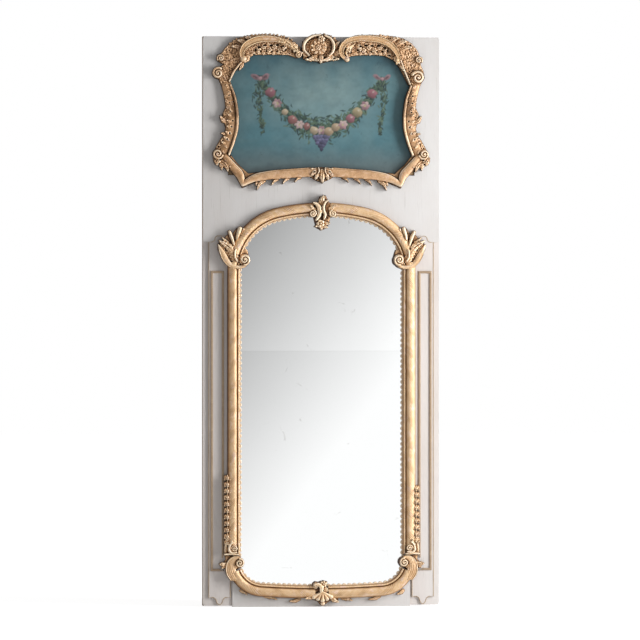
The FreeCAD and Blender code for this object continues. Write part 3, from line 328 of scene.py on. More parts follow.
def withoutSpecks(cells, least):
    # drops islands of fewer cells
    names = np.where(cells, np.arange(1, cells.size + 1).reshape(cells.shape), 0)
    while True:
        spread = names.copy()
        spread[1:] = np.maximum(spread[1:], names[:-1])
        spread[:-1] = np.maximum(spread[:-1], names[1:])
        spread[:, 1:] = np.maximum(spread[:, 1:], spread[:, :-1])
        spread[:, :-1] = np.maximum(spread[:, :-1], spread[:, 1:])
        spread = np.where(cells, spread, 0)
        if (spread == names).all():
            break
        names = spread
    kinds, sizes = np.unique(names[cells], return_counts=True)
    return cells & ~np.isin(names, kinds[sizes < least])


def carve(name, block, node, material, region=None, foot=0.0, hollow=None):
    # the carved front, walls down to the boards and a flat back, as one closed mesh
    step, level = block["step"], block["level"]
    cover = block["cover"] if region is None else np.minimum(block["cover"], region(block["x"], block["z"]))
    if hollow is None:
        # the pits' painted shadow darkens the value here
        hollow = hollows(block) - 0.5 * block["pitShade"]
    corners = cover[:-1, :-1] + cover[1:, :-1] + cover[:-1, 1:] + cover[1:, 1:]
    cells = withoutSpecks(corners > 0, 40)
    for _ in range(6):
        a, b, c, d = cells[:-1, :-1], cells[:-1, 1:], cells[1:, :-1], cells[1:, 1:]
        pinch = (a & d & ~b & ~c) | (b & c & ~a & ~d)
        if not pinch.any():
            break
        for part in (a, b, c, d):
            part |= pinch
    used = np.zeros(level.shape, int)
    for rows in (slice(None, -1), slice(1, None)):
        for columns in (slice(None, -1), slice(1, None)):
            used[rows, columns] += cells
    border = (used > 0) & (used < 4)
    slopeZ, slopeX = np.gradient(cover, step)
    steep = np.maximum(slopeX ** 2 + slopeZ ** 2, 0.25)
    pull = np.where(border, np.clip(-cover, -0.7 * step, 0.7 * step), 0)
    x, z = block["x"] + pull * slopeX / np.sqrt(steep), block["z"] + pull * slopeZ / np.sqrt(steep)
    raised = level.copy()
    for rows in (-1, 0, 1):
        for columns in (-1, 0, 1):
            near = np.roll(level * (cover > 0), (rows, columns), (0, 1))
            raised = np.where(cover <= 0, np.maximum(raised, near), raised)
    index = np.full(level.shape, -1)
    index[used > 0] = np.arange((used > 0).sum())
    total = (used > 0).sum()
    keep = used > 0
    front = np.stack([x[keep], -(boardFace + raised[keep]), z[keep]], axis=1)
    back = np.stack([x[keep], np.full(total, -(boardFace + foot)), z[keep]], axis=1)
    a, b, c, d = index[:-1, :-1], index[:-1, 1:], index[1:, 1:], index[1:, :-1]
    top = np.stack([a[cells], b[cells], c[cells], d[cells]], axis=1)
    faces = [top, top[:, ::-1] + total]
    framed = np.pad(cells, 1)
    for (dz, dx), (first, last) in (((-1, 0), (a, b)), ((0, 1), (b, c)), ((1, 0), (c, d)),
                                    ((0, -1), (d, a))):
        bare = cells & ~framed[1 + dz:framed.shape[0] - 1 + dz, 1 + dx:framed.shape[1] - 1 + dx]
        faces.append(np.stack([last[bare], first[bare], first[bare] + total, last[bare] + total], axis=1))
    # the back takes a quarter of the front's value, so the walls darken down to the boards as painted shade
    shade = np.concatenate([hollow[keep], hollow[keep] * 0.25])
    return newPiece(name, np.vstack([front, back]), np.vstack(faces), node,
                    material, shade)


# motifs: each carved piece is a dictionary of them, in mm


def fringe(block, points, pitch, reach, width, foot, rise, flip):
    # small leaves along a line, pointing out to its right, uneven as hand work is
    line = smoothLine(points, 1.0)
    heading = np.gradient(line, axis=0)
    hand = np.random.default_rng(len(line))
    for place in range(int(pitch / 2), len(line) - 2, pitch):
        run = heading[place] / np.linalg.norm(heading[place])
        out = np.array([run[1], -run[0]]) * flip
        lean = out * 0.93 + run * hand.uniform(0.2, 0.5)
        size = hand.uniform(0.8, 1.2)
        root = line[place] - lean * reach * 0.3
        leaf(block, root, line[place] + lean * reach * 0.75 * size, width * size, foot,
             rise * hand.uniform(0.8, 1.15),
             hand.uniform(-2, 2), lobes=3)


def carveMotifs(block, motifs, flip=1):
    # flip -1 carves the mirror image
    def turned(points):
        return [(flip * x, z) for x, z in points]

    for outline, foot, lumps, size in motifs.get("grounds", []):
        field(block, turned(outline), foot,
              lambda x, z: lumps * (1 - 2.4 * np.abs(grain(x, z, size, 3)) + 0.5 * grain(x, z, size * 0.5,
                  4)))
    for line, pitch, reach, width, foot, rise in motifs.get("fringes", []):
        fringe(block, turned(line), pitch, reach, width, foot, rise, flip)
    for root, tip, width, foot, rise, bend in motifs.get("leaves", []):
        root, tip = turned([root, tip])
        leaf(block, root, tip, width, foot, rise, bend * flip,
             lobes=max(3, round(math.dist(root, tip) / 13)))
    for points, width, foot, rise, kind in motifs.get("straps", []):
        strap(block, smoothLine(turned(points)), width, foot, rise, kind, flip)
    for x, z, radius, start, hand, foot, rise in motifs.get("volutes", []):
        angle = math.radians(start if flip > 0 else 180 - start)
        volute(block, flip * x, z, radius, angle, hand * flip, foot, rise)
    for x, z, radius, foot, rise, petals in motifs.get("blossoms", []):
        blossom(block, flip * x, z, radius, foot, rise, petals, x * 0.13)
    for x, z, radius, foot, rise in motifs.get("domes", []):
        dome(block, flip * x, z, radius, foot, rise)
    for x, z, wide, tall in motifs.get("pits", []):
        # undercut between the forms: a lower spot with painted shadow in it
        view = window(block, [(flip * x, z)], max(wide, tall) + 2)
        away = np.hypot((block["x"][view] - flip * x) / wide, (block["z"][view] - z) / tall)
        depth = fade(1.15 - away, 0, 0.6)
        block["level"][view] = block["level"][view] * (1 - depth) + 5 * depth
        block["pitShade"][view] = np.maximum(block["pitShade"][view], depth)


upperCorner = {     # the right top corner of the painting's frame
    "grounds": [
        ([(292, 2094), (310, 2064), (336, 2012), (352, 2016), (388, 2022), (401, 2042), (396, 2070),
          (386, 2090),
        (384, 2118), (372, 2150), (350, 2176), (318, 2194), (280, 2203), (240, 2206), (190, 2209),
        (130, 2206),
        (98, 2192), (78, 2166), (76, 2120), (92, 2110), (112, 2124), (150, 2128), (200, 2129), (244, 2126),
        (276, 2110)], 14, 2.2, 5.5)],
    "fringes": [([(362, 2128), (346, 2158), (320, 2180), (286, 2194), (240, 2200), (190, 2202), (140, 2198),
        (104, 2186)], 14, 12, 15, 7, 9)],
    "leaves": [((262, 2178), (300, 2196), 24, 9, 17, 4), ((286, 2166), (330, 2184), 24, 9, 17, 4),
        ((306, 2150), (352, 2160), 22, 9, 16, 4),
        ((118, 2176), (108, 2136), 30, 14, 18, -8), ((132, 2170), (150, 2142), 24, 12, 16, 5),
        ((286, 2128), (304, 2096), 24, 14, 17, -5), ((306, 2104), (322, 2066), 18, 14, 13, -3)],
    "volutes": [(372, 2043, 29, 150, -1, 14, 22), (377, 2111, 17, 330, 1, 11, 17)],
    "straps": [([(306, 2110), (322, 2066), (342, 2018)], [7, 8, 7], 13, 14, "round")],
    "blossoms": [(162 + 21 * k, 2152 + (7 if k % 2 else -4), 11, 10, 15, 5 + k % 2) for k in range(5)]
    + [(150 + 19 * k, 2135 + (3 if k % 2 else -1), 7.5, 9, 13, 5) for k in range(7)],
    "pits": [(150, 2163, 6, 4), (172, 2167, 8, 4), (196, 2165, 7, 4), (221, 2166, 8, 4), (244, 2158, 6, 5),
        (141, 2147, 4, 3), (173, 2142, 4, 3), (193, 2142, 4, 3.5), (214, 2143, 4, 3), (236, 2143, 5, 4),
        (256, 2146, 5, 6), (262, 2128, 5, 4)],
}

upperCornerLeft = dict(     # the left one reaches further out, as the carver left it
    upperCorner,
    grounds=[([(288, 2112), (306, 2102), (322, 2085), (338, 2064), (357, 2024), (378, 2016), (404, 2034),
               (422, 2058),
        (412, 2078), (380, 2090), (406, 2104), (406, 2128), (388, 2136), (372, 2158), (358, 2171),
        (330, 2190),
        (288, 2203), (220, 2209), (160, 2201), (115, 2183), (84, 2160), (78, 2126), (96, 2116), (130, 2127),
        (200, 2129), (262, 2127)], 14, 2.2, 5.5)],
    volutes=[(403, 2057, 26, 120, -1, 14, 20), (392, 2115, 17, 330, 1, 11, 16)],
    straps=[([(312, 2100), (326, 2082), (341, 2062), (358, 2026)], [7, 9, 9, 7], 13, 12, "round")],
    fringes=[([(362, 2150), (344, 2176), (290, 2196), (244, 2203), (196, 2203), (146, 2196), (112, 2182)],
        14, 12, 15, 7, 9)])

rightScroll = {     # the long C scroll that lies on it
    "straps": [
        ([(96, 2113), (82, 2122), (74, 2142), (82, 2166), (104, 2184), (146, 2193), (196, 2192),
          (240, 2182),
        (270, 2164), (290, 2138), (298, 2114), (290, 2096)],
        [14, 20, 24, 25, 25, 26, 27, 27, 26, 24, 18, 8], 15, 20, "grooved"),
        ([(100, 2120), (94, 2136), (102, 2156), (124, 2170)], [8, 10, 11, 7], 15, 15, "round")],
    "leaves": [((288, 2132), (288, 2094), 24, 16, 17, 5)],
    "domes": [(97, 2112, 11, 15, 19)],
}

leftScroll = {      # the left one ends in leaves and a volute, as long as the right one
    "straps": [
        ([(-304, 2112), (-311, 2126), (-308, 2146), (-292, 2167), (-258, 2184), (-221, 2190), (-182, 2188),
        (-150, 2180)],
        [14, 22, 28, 30, 29, 27, 23, 18], 15, 20, "grooved")],
    "leaves": [((-196, 2189), (-140, 2172), 30, 16, 19, 5), ((-168, 2184), (-112, 2156), 32, 16, 20, 5),
        ((-140, 2174), (-88, 2132), 30, 16, 19, 6)],
    "volutes": [(-92, 2130, 16, 70, -1, 15, 20)],
    "domes": [(-304, 2112, 14, 15, 20)],
}

crest = {           # the shell and leaves over the middle
    "grounds": [([(-72, 2112), (-80, 2150), (-74, 2182), (-44, 2204), (-6, 2211), (30, 2207), (54, 2192),
        (78, 2172), (78, 2140), (70, 2112), (42, 2106), (14, 2100), (0, 2097), (-14, 2100), (-42, 2106)],
        13, 2.4, 6)],
    "fringes": [([(56, 2186), (30, 2198), (-4, 2204), (-40, 2198), (-68, 2180)], 14, 13, 14, 8, 11)],
    "domes": [(-14, 2160, 34, 13, 11)],
    "leaves": [((-14 + 5 * math.cos(k * 0.7), 2158 + 5 * math.sin(k * 0.7)),
        (-14 + 32 * math.cos(k * 0.7), 2158 + 30 * math.sin(k * 0.7)), 17, 17, 11, 2) for k in range(9)]
    + [((44, 2128), (78, 2160), 22, 11, 15, -5), ((46, 2146), (72, 2184), 20, 11, 14, 4),
       ((-52, 2124), (-80, 2142), 18, 10, 14, 3), ((20, 2130), (70, 2113), 24, 14, 16, -6),
       ((-16, 2126), (-68, 2111), 24, 14, 16, 6), ((40, 2128), (-2, 2108), 20, 17, 16, 6),
       ((-36, 2126), (-10, 2106), 20, 15, 15, -4), ((-2, 2128), (-6, 2093), 22, 17, 18, 0)],
    "straps": [([(-6, 2207), (-40, 2200), (-66, 2178), (-70, 2150), (-52, 2128)], [7, 11, 13, 12, 8], 15,
                16, "round"),
        ([(12, 2204), (34, 2192), (46, 2168), (42, 2142), (28, 2126)], [7, 10, 13, 12, 8], 15, 16,
         "round")],
    "blossoms": [(-2, 2191, 14, 20, 15, 6), (-14, 2158, 12, 22, 10, 6)],
    "pits": [(48, 2116, 5, 3), (-54, 2117, 5, 3), (14, 2120, 5, 3)],
}

upright = {         # the right side of the painting's frame
    "grounds": [([(342, 2012), (324, 1965), (317, 1915), (315, 1885), (317, 1838), (329, 1790), (347, 1742),
        (376, 1712), (402, 1726), (416, 1748), (402, 1774), (388, 1800), (372, 1822), (366, 1846),
        (374, 1872), (378, 1900), (366, 1926), (370, 1960), (372, 1990), (386, 2016), (394, 2040),
        (372, 2068), (348, 2040)], 15, 3.6, 4.6)],
    "fringes": [([(378, 2008), (366, 1968), (360, 1930), (368, 1898), (364, 1866), (364, 1834), (380, 1800),
        (396, 1772)], 15, 10, 12, 9, 10)],
    "straps": [([(364, 2008), (350, 1965), (343, 1915), (342, 1885), (345, 1838), (358, 1795), (376, 1750)],
        [34, 42, 42, 42, 42, 40, 36], 9, 12, "round"),
        ([(346, 2010), (330, 1965), (322, 1915), (320, 1885), (323, 1838), (336, 1790), (353, 1744)],
        [9, 11, 12, 12, 12, 11, 9], 15, 11, "round")],
    "leaves": [((x, z), (x + 17, z + 15), 15, 17, 8, 3) for x, z in (
        (346, 1862), (346, 1840), (352, 1818), (358, 1798), (366, 1778), (342, 1884))]
    + [((x + 2, z), (x - 7, z - 17), 14, 17, 8, 2) for x, z in (
        (350, 1864), (350, 1838), (358, 1812), (368, 1786), (378, 1766))]
    + [((356, 1866), (388, 1896), 22, 11, 15, -6), ((362, 1816), (386, 1826), 16, 10, 13, 3),
       ((354, 1990), (366, 2014), 18, 15, 9, 3), ((342, 1900), (352, 1922), 16, 16, 9, 3)],
    "volutes": [(396, 1746, 24, 200, 1, 14, 20)],
    "blossoms": [(354, 1984, 10, 16, 9, 5), (346, 1960, 10, 16, 9, 6), (360, 1950, 9, 15, 9, 5),
        (342, 1936, 9, 16, 9, 5), (354, 1926, 10, 16, 9, 6), (364, 1970, 8, 14, 9, 5),
        (358, 1902, 8, 14, 8, 5)],
    "pits": [(353, 1972, 3, 2.5), (351, 1943, 3, 2.5), (336, 1948, 2.5, 3), (348, 1908, 3, 2.5),
             (342, 1851, 2.5, 4),
        (350, 1826, 2.5, 4), (360, 1803, 3, 3), (338, 1874, 2.5, 4)],
}

smoothCorner = {    # the plain lower corner, with blossoms over it and small leaves that hang from it
    "grounds": [([(350, 1742), (322, 1706), (284, 1672), (200, 1684), (43, 1696), (43, 1658), (197, 1650),
        (256, 1636), (308, 1614), (332, 1656), (364, 1696), (398, 1724)], 9, 0.4, 9)],
    "leaves": [((76, 1657), (106, 1636), 13, 7, 15, 5), ((122, 1655), (153, 1629), 14, 7, 15, 5),
        ((164, 1653), (196, 1624), 15, 7, 15, 5), ((216, 1647), (252, 1605), 19, 7, 17, 8),
        ((242, 1640), (256, 1622), 14, 7, 14, 4),
        ((402, 1732), (404, 1700), 26, 12, 16, 5), ((396, 1722), (362, 1676), 26, 12, 17, -7),
        ((398, 1718), (388, 1682), 20, 12, 15, -4), ((380, 1712), (352, 1692), 20, 12, 15, -4)],
    "straps": [([(374, 1734), (346, 1698), (318, 1666), (307, 1632)], [24, 32, 34, 18], 9, 17, "smooth"),
        ([(306, 1630), (262, 1653), (200, 1665), (120, 1672), (43, 1677)], [18, 32, 36, 36, 37],
        9, 17, "smooth")],
    "blossoms": [(404, 1718, 13, 16, 15, 6), (388, 1702, 11, 16, 13, 5), (414, 1730, 8, 13, 12, 5)],
    "pits": [(398, 1708, 4, 3), (394, 1724, 4, 3)],
}

clasp = {           # the leaf clasp under the painting
    "grounds": [([(-44, 1694), (0, 1697), (44, 1694), (44, 1656), (22, 1644), (0, 1636), (-22, 1644),
        (-44, 1656)], 12, 1.5, 5)],
    "leaves": [((-6, 1688), (-46, 1692), 18, 13, 15, 3), ((6, 1688), (46, 1692), 18, 13, 15, -3),
        ((-6, 1684), (-44, 1662), 26, 13, 19, -6), ((6, 1684), (44, 1662), 26, 13, 19, 6),
        ((-5, 1678), (-26, 1646), 22, 14, 18, -4), ((5, 1678), (26, 1646), 22, 14, 18, 4),
        ((0, 1690), (2, 1632), 26, 15, 20, 0)],
    "straps": [([(-14, 1694), (-12, 1680), (-20, 1664)], [5, 6, 4], 20, 13, "round"),
        ([(14, 1694), (12, 1680), (20, 1664)], [5, 6, 4], 20, 13, "round")],
    "pits": [(-30, 1678, 5, 2), (30, 1678, 5, 2)],
}

shell = {           # the shell on the right shoulder of the mirror frame
    "grounds": [([(278, 1345), (281, 1327), (293, 1314), (312, 1306), (336, 1305), (359, 1311), (380, 1330),
        (394, 1357), (404, 1381), (401, 1402), (386, 1414), (370, 1430), (356, 1446), (344, 1440),
        (330, 1461), (310, 1462), (300, 1430), (296, 1400), (284, 1366)], 9, 0.4, 7)],
    "leaves": [((344, 1368), (390, 1428), 20, 11, 15, 4), ((328, 1325), (402, 1415), 38, 14, 21, 15),
        ((338, 1346), (362, 1398), 22, 16, 18, 4), ((350, 1336), (394, 1402), 26, 11, 13, -3)],
    "straps": [([(322, 1392), (326, 1424), (317, 1459)], [10, 15, 17], 11, 22, "round"),
        ([(340, 1396), (349, 1424), (358, 1446)], [9, 13, 14], 11, 21, "round"),
        ([(306, 1400), (308, 1430), (303, 1456)], [8, 11, 12], 10, 18, "round"),
        ([(284, 1332), (300, 1315), (325, 1310), (352, 1317), (371, 1337), (383, 1360), (392, 1380),
          (401, 1396)],
        [8, 12, 14, 17, 22, 24, 18, 6], 13, 19, "veined"),
        ([(303, 1393), (315, 1401), (329, 1391), (337, 1370), (337, 1350), (329, 1334)],
         [5, 8, 10, 10, 10, 8],
        20, 16, "round")],
    "volutes": [(300, 1339, 25, 270, -1, 16, 23)],
    "pits": [(322, 1366, 4, 9), (337, 1412, 2.5, 8), (372, 1376, 3, 5)],
}

archCrest = {       # the leaf and scrolls over the arch
    "grounds": [([(-30, 1500), (-40, 1528), (-36, 1556), (-16, 1562), (-8, 1584), (16, 1588), (26, 1566),
        (38, 1554), (42, 1528), (34, 1500), (30, 1480), (22, 1462), (0, 1452), (-20, 1462), (-26, 1484)],
        10, 0.5, 6)],
    "leaves": [((-6, 1548), (6, 1589), 28, 14, 22, 0), ((-22, 1528), (-46, 1552), 18, 16, 17, 4),
        ((26, 1532), (52, 1553), 18, 16, 17, -4), ((-6, 1482), (-28, 1466), 16, 12, 14, 3),
        ((2, 1484), (34, 1480), 16, 12, 15, -3), ((0, 1478), (26, 1462), 16, 12, 14, -3),
        ((-2, 1474), (-2, 1452), 15, 12, 14, 0)],
    "straps": [([(-21, 1494), (-12, 1508), (-8, 1525), (-12, 1541), (-21, 1553), (-33, 1559)],
                [9, 15, 19, 18, 14, 8],
        19, 19, "veined"),
        ([(8, 1497), (12, 1513), (7, 1528), (6, 1545), (13, 1561), (22, 1567)], [8, 12, 12, 11, 10, 7],
        19, 19, "round")],
    "volutes": [(-36, 1517, 17, 70, -1, 20, 17), (43, 1517, 17, 110, 1, 20, 17)],
    "blossoms": [(-5, 1479, 16, 18, 17, 5)],
    "pits": [(-1, 1512, 2.5, 7), (22, 1500, 4, 4), (-2, 1536, 2, 6)],
}

cornerLeaves = {    # the scrolls and leaves at the right lower corner of the mirror frame
    "grounds": [([(300, 168), (306, 186), (322, 196), (330, 202), (376, 202), (372, 184), (384, 172),
        (374, 148), (364, 124), (340, 112), (334, 140), (318, 150), (304, 156)], 9, 0.5, 6),
        ([(350, 201), (379, 201), (380, 250), (374, 274), (358, 272), (350, 250)], 15, 0.5, 5)],
    "leaves": [((362, 168), (400, 168), 20, 11, 16, -4), ((366, 158), (390, 148), 16, 10, 14, 3),
        ((371, 206), (372, 252), 16, 15, 14, 0), ((359, 208), (360, 250), 15, 17, 14, 0),
        ((346, 234), (352, 262), 16, 20, 16, 0)],
    "straps": [([(340, 112), (350, 132), (354, 154), (350, 174), (338, 187), (320, 191)],
                [34, 42, 40, 32, 22, 12],
        11, 19, "veined"),
        ([(326, 204), (352, 206), (377, 204)], [8, 10, 8], 18, 14, "round"),
        ([(332, 212), (350, 210), (360, 222), (356, 240), (346, 250)], [8, 10, 11, 10, 7], 20, 16,
         "round")],
    "volutes": [(319, 171, 21, 90, 1, 16, 22), (340, 226, 16, 0, 1, 20, 16)],
    "blossoms": [(366, 266, 11, 14, 13, 5), (386, 166, 9, 16, 12, 5)],
    "domes": [(336, 158, 12, 10, 14)],
}

spray = {           # the spray of leaves at the middle of the foot
    "grounds": [([(-62, 34), (-36, 54), (-34, 92), (-8, 97), (12, 99), (22, 84), (20, 64), (44, 50),
                  (64, 44),
        (66, 24), (44, 24), (26, 18), (12, 7), (-6, 7), (-16, 20), (-38, 28)], 8, 0.5, 6)],
    "leaves": [((-28, 46), (-68, 33), 19, 10, 16, 4), ((34, 38), (68, 18), 20, 10, 16, -4),
        ((42, 40), (67, 43), 15, 10, 14, 3), ((8, 72), (26, 60), 16, 14, 14, 2),
        ((-12, 90), (-35, 86), 15, 12, 14, -3), ((8, 84), (20, 99), 15, 14, 14, -2)],
    "straps": [([(2 + x * 0.1, 57), (2 + x * 0.55, 43 + abs(x) * 0.12), (2 + x, 25 + abs(x) * 0.4)],
        [8, 14, 18], 12, 19, "round") for x in (-33, -17, 1, 18, 34)]
    + [([(-29, 85), (-15, 87), (-2, 76), (-2, 60)], [7, 13, 17, 13], 19, 17, "veined")],
    "domes": [(4, 13, 9, 8, 14)],
    "volutes": [(-24, 80, 12, 90, 1, 16, 18)],
    "blossoms": [(6, 88, 14, 18, 15, 6), (15, 63, 9, 16, 12, 5)],
}

# finishes


def colour(code):
    # a colour as written, for a node socket
    parts = [int(code[k:k + 2], 16) / 255 for k in (1, 3, 5)]
    return tuple(p / 12.92 if p < 0.04045 else ((p + 0.055) / 1.055) ** 2.4 for p in parts) + (1.0,)


def newFinish(name, **values):
    # a material and its shader, with plain values straight on the shader
    material = bpy.data.materials.new(name)
    material.use_nodes = True
    shader = material.node_tree.nodes["Principled BSDF"]
    for key, value in values.items():
        shader.inputs[key.replace("_", " ")].default_value = value
    return material, material.node_tree, shader


def add(tree, kind, settings=None, **inputs):
    made = tree.nodes.new("ShaderNode" + kind)
    for key, value in (settings or {}).items():
        setattr(made, key, value)
    for key, value in inputs.items():
        slot = made.inputs[int(key[4:])] if key.startswith("slot") else made.inputs[key.replace("_", " ")]
        if isinstance(value, bpy.types.NodeSocket):
            tree.links.new(value, slot)
        else:
            slot.default_value = value
    return made.outputs[0]


def stretched(tree, scale=(1, 1, 1)):
    # object coordinates, scaled
    spot = tree.nodes.new("ShaderNodeTexCoord").outputs["Object"]
    return add(tree, "Mapping", Vector=spot, Scale=scale)


def mottle(tree, place, scale, detail=4, rough=0.6, twist=0.0):
    return add(tree, "TexNoise", Vector=place, Scale=scale, Detail=detail, Roughness=rough,
               Distortion=twist)


def steps(tree, factor, *stops):
    # a colour ramp from pairs of place and colour
    made = tree.nodes.new("ShaderNodeValToRGB")
    tree.links.new(factor, made.inputs["Fac"])
    ramp = made.color_ramp
    while len(ramp.elements) < len(stops):
        ramp.elements.new(0.5)
    for element, (place, code) in zip(ramp.elements, stops):
        element.position = place
        element.color = colour(code) if isinstance(code, str) else (code, code, code, 1)
    return made.outputs["Color"]


def mixed(tree, factor, first, second, kind="MIX"):
    made = tree.nodes.new("ShaderNodeMix")
    made.data_type, made.blend_type = "RGBA", kind
    for slot, value in ((0, factor), (6, first), (7, second)):
        if isinstance(value, bpy.types.NodeSocket):
            tree.links.new(value, made.inputs[slot])
        elif isinstance(value, str):
            made.inputs[slot].default_value = colour(value)
        else:
            made.inputs[slot].default_value = value
    return made.outputs[2]


def sums(tree, kind, first, second):
    return add(tree, "Math", {"operation": kind}, slot0=first, slot1=second)


def relief(tree, shader, height, strength, distance):
    bumpNode = add(tree, "Bump", Height=height, Strength=strength, Distance=distance)
    tree.links.new(bumpNode, shader.inputs["Normal"])


def gildedFinish(name, tones):
    # water gilding on red-brown bole over gesso: dark in the hollows as painted shade, pale on the ridges
    # as painted highlight, with rubbed bole and chalky gesso as real wear
    material, tree, shader = newFinish(name, Metallic=0.22, Roughness=0.47)
    hollow = add(tree, "Attribute", {"attribute_name": "hollow"})
    hollow = tree.nodes[-1].outputs["Fac"]
    place = stretched(tree)
    cloud, speck = mottle(tree, place, 38, 6, 0.65, 0.4), mottle(tree, place, 210, 3, 0.6)
    # the gold's tone follows the hollow value, painted shade in the hollows and painted highlight on the
    # ridges, plus random mottle
    shadeAndMottle = sums(tree, "ADD", hollow, sums(tree, "MULTIPLY", sums(tree, "SUBTRACT", cloud, 0.5), 0.42))
    shadeAndMottle = sums(tree, "ADD", shadeAndMottle, sums(tree, "MULTIPLY", sums(tree, "SUBTRACT", speck, 0.5), 0.22))
    gold = steps(tree, shadeAndMottle, *tones["gold"])
    chalk = steps(tree, mottle(tree, place, tones["patch"], 5, 0.7, 0.8), (0.53, 0.0), (0.66, 1.0))
    ridge = steps(tree, hollow, (0.35, 0.0), (0.7, 1.0))
    chalk = sums(tree, "MULTIPLY", sums(tree, "MULTIPLY", chalk, ridge), tones["chalkShare"])
    gold = mixed(tree, chalk, gold, tones["chalk"])
    rubbed = steps(tree, mottle(tree, place, 27, 5, 0.7, 0.5), (0.6, 0.0), (0.72, tones["boleShare"]))
    gold = mixed(tree, rubbed, gold, tones["bole"])
    tree.links.new(gold, shader.inputs["Base Color"])
    relief(tree, shader, sums(tree, "ADD", speck, mottle(tree, place, 75, 3)), 0.35, 0.0009)
    return material


def paintedFinish(name, tones, grain=(9, 9, 0.55)):
    # old grey distemper on boards, brushed upright, with dirt, fine cracks and knocks
    material, tree, shader = newFinish(name, Roughness=0.62)
    place = stretched(tree, grain)
    fine, cloud = mottle(tree, place, 26, 6, 0.7), mottle(tree, stretched(tree, (1, 1, 0.45)), 3.2, 5, 0.6,
                                                          0.3)
    face = steps(tree, cloud, (0.3, tones["dark"]), (0.55, tones["plain"]), (0.75, tones["light"]))
    face = mixed(tree, steps(tree, fine, (0.36, 0.07), (0.5, 0.0)), face, tones["streak"], "MULTIPLY")
    crack = steps(tree, mottle(tree, stretched(tree, (30, 30, 0.8)), 9, 3, 0.5), (0.305, 1.0), (0.33, 0.0))
    knock = steps(tree, mottle(tree, stretched(tree), 44, 4, 0.75, 0.6), (0.715, 0.0), (0.735, 1.0))
    face = mixed(tree, sums(tree, "MULTIPLY", crack, 0.22), face, tones["crack"])
    face = mixed(tree, sums(tree, "MULTIPLY", knock, 0.4), face, tones["bare"])
    # the backs turn to bare wood; the side faces turn dark brown, as bare wood and as painted shade
    side = add(tree, "SeparateXYZ", slot0=tree.nodes.new("ShaderNodeNewGeometry").outputs["Normal"])
    behind = steps(tree, tree.nodes[-1].outputs["Y"], (0.4, 0.0), (0.8, 1.0))
    face = mixed(tree, behind, face, tones["raw"])
    side = sums(tree, "MULTIPLY", steps(tree, sums(tree, "ABSOLUTE", side, 0.0), (0.5, 0.0), (0.9, 1.0)),
                0.95)
    face = mixed(tree, side, face, tones["side"])
    tree.links.new(face, shader.inputs["Base Color"])
    relief(tree, shader, sums(tree, "SUBTRACT", fine, crack), 0.05, 0.0004)
    return material


def woodFinish(name, tones, upright):
    # sawn timber: pores and long flames along the board
    material, tree, shader = newFinish(name, Roughness=0.7)
    scale = (14, 14, 0.7) if upright else (0.7, 14, 14)
    place = stretched(tree, scale)
    flame, pore = mottle(tree, place, 5, 5, 0.55, 1.2), mottle(tree, place, 34, 4, 0.7)
    face = steps(tree, flame, (0.25, tones[0]), (0.5, tones[1]), (0.75, tones[2]))
    face = mixed(tree, steps(tree, pore, (0.36, 0.7), (0.5, 0.0)), face, tones[3], "MULTIPLY")
    dust = steps(tree, mottle(tree, stretched(tree), 5, 4, 0.6), (0.45, 0.0), (0.75, 0.5))
    face = mixed(tree, dust, face, tones[4])
    tree.links.new(face, shader.inputs["Base Color"])
    relief(tree, shader, sums(tree, "ADD", pore, flame), 0.3, 0.0008)
    return material


def ironFinish(name):
    material, tree, shader = newFinish(name, Metallic=0.8, Roughness=0.55)
    place = stretched(tree)
    rust = steps(tree, mottle(tree, place, 90, 5, 0.7, 0.5), (0.35, "#4b4743"), (0.52, "#5d4a3b"),
                 (0.7, "#7b4a2c"))
    tree.links.new(rust, shader.inputs["Base Color"])
    relief(tree, shader, mottle(tree, place, 240, 3), 0.3, 0.0004)
    return material


def glassFinish(name, tilt, haze):
    # silvered plate with faint foxing. tilt leans what it mirrors, as a plate set by hand does
    material, tree, shader = newFinish(name, Metallic=1.0, Roughness=0.03)
    place = stretched(tree)
    foxing = steps(tree, mottle(tree, place, 16, 6, 0.7, 0.7), (0.66, 0.0), (0.8, 0.5))
    fog = steps(tree, mottle(tree, place, 2.2, 4, 0.6), (0.35, haze), (0.7, "#f2f3f3"))
    tree.links.new(mixed(tree, foxing, fog, "#8f8a80"), shader.inputs["Base Color"])
    normal = tree.nodes.new("ShaderNodeNewGeometry").outputs["Normal"]
    ripple = add(tree, "VectorMath", {"operation": "ADD"}, slot0=normal, slot1=tilt)
    tree.links.new(add(tree, "VectorMath", {"operation": "NORMALIZE"}, slot0=ripple),
                   shader.inputs["Normal"])
    return material


goldTones = {
    "gold": [(0.06, "#38230f"), (0.24, "#71502f"), (0.4, "#a67d54"), (0.52, "#cca177"), (0.66, "#e6c39b"),
             (0.84, "#f5e2c6")],
    "chalk": "#ecd0c0", "chalkShare": 0.75, "bole": "#96603a", "boleShare": 0.5, "patch": 61}
paleTones = {
    "gold": [(0.05, "#4a2f1a"), (0.22, "#835b38"), (0.4, "#b68c61"), (0.52, "#d3ab7e"), (0.68, "#ebcba3"),
             (0.86, "#f7e4c6")],
    "chalk": "#f3ddd0", "chalkShare": 0.6, "bole": "#b07c50", "boleShare": 0.35, "patch": 55}
smoothTones = {
    "gold": [(0.08, "#5a3b22"), (0.26, "#8f643c"), (0.44, "#bd9163"), (0.6, "#d8b184"), (0.85, "#efd5ae")],
    "chalk": "#edd2c4", "chalkShare": 0.8, "bole": "#ab7a4e", "boleShare": 0.2, "patch": 40}
greyTones = {"dark": "#cfcac6", "plain": "#d7d4d2", "light": "#dddcdb", "streak": "#cfcac2",
             "crack": "#8f877b", "bare": "#a58a6a", "side": "#84705c",
             "raw": "#8a7154"}

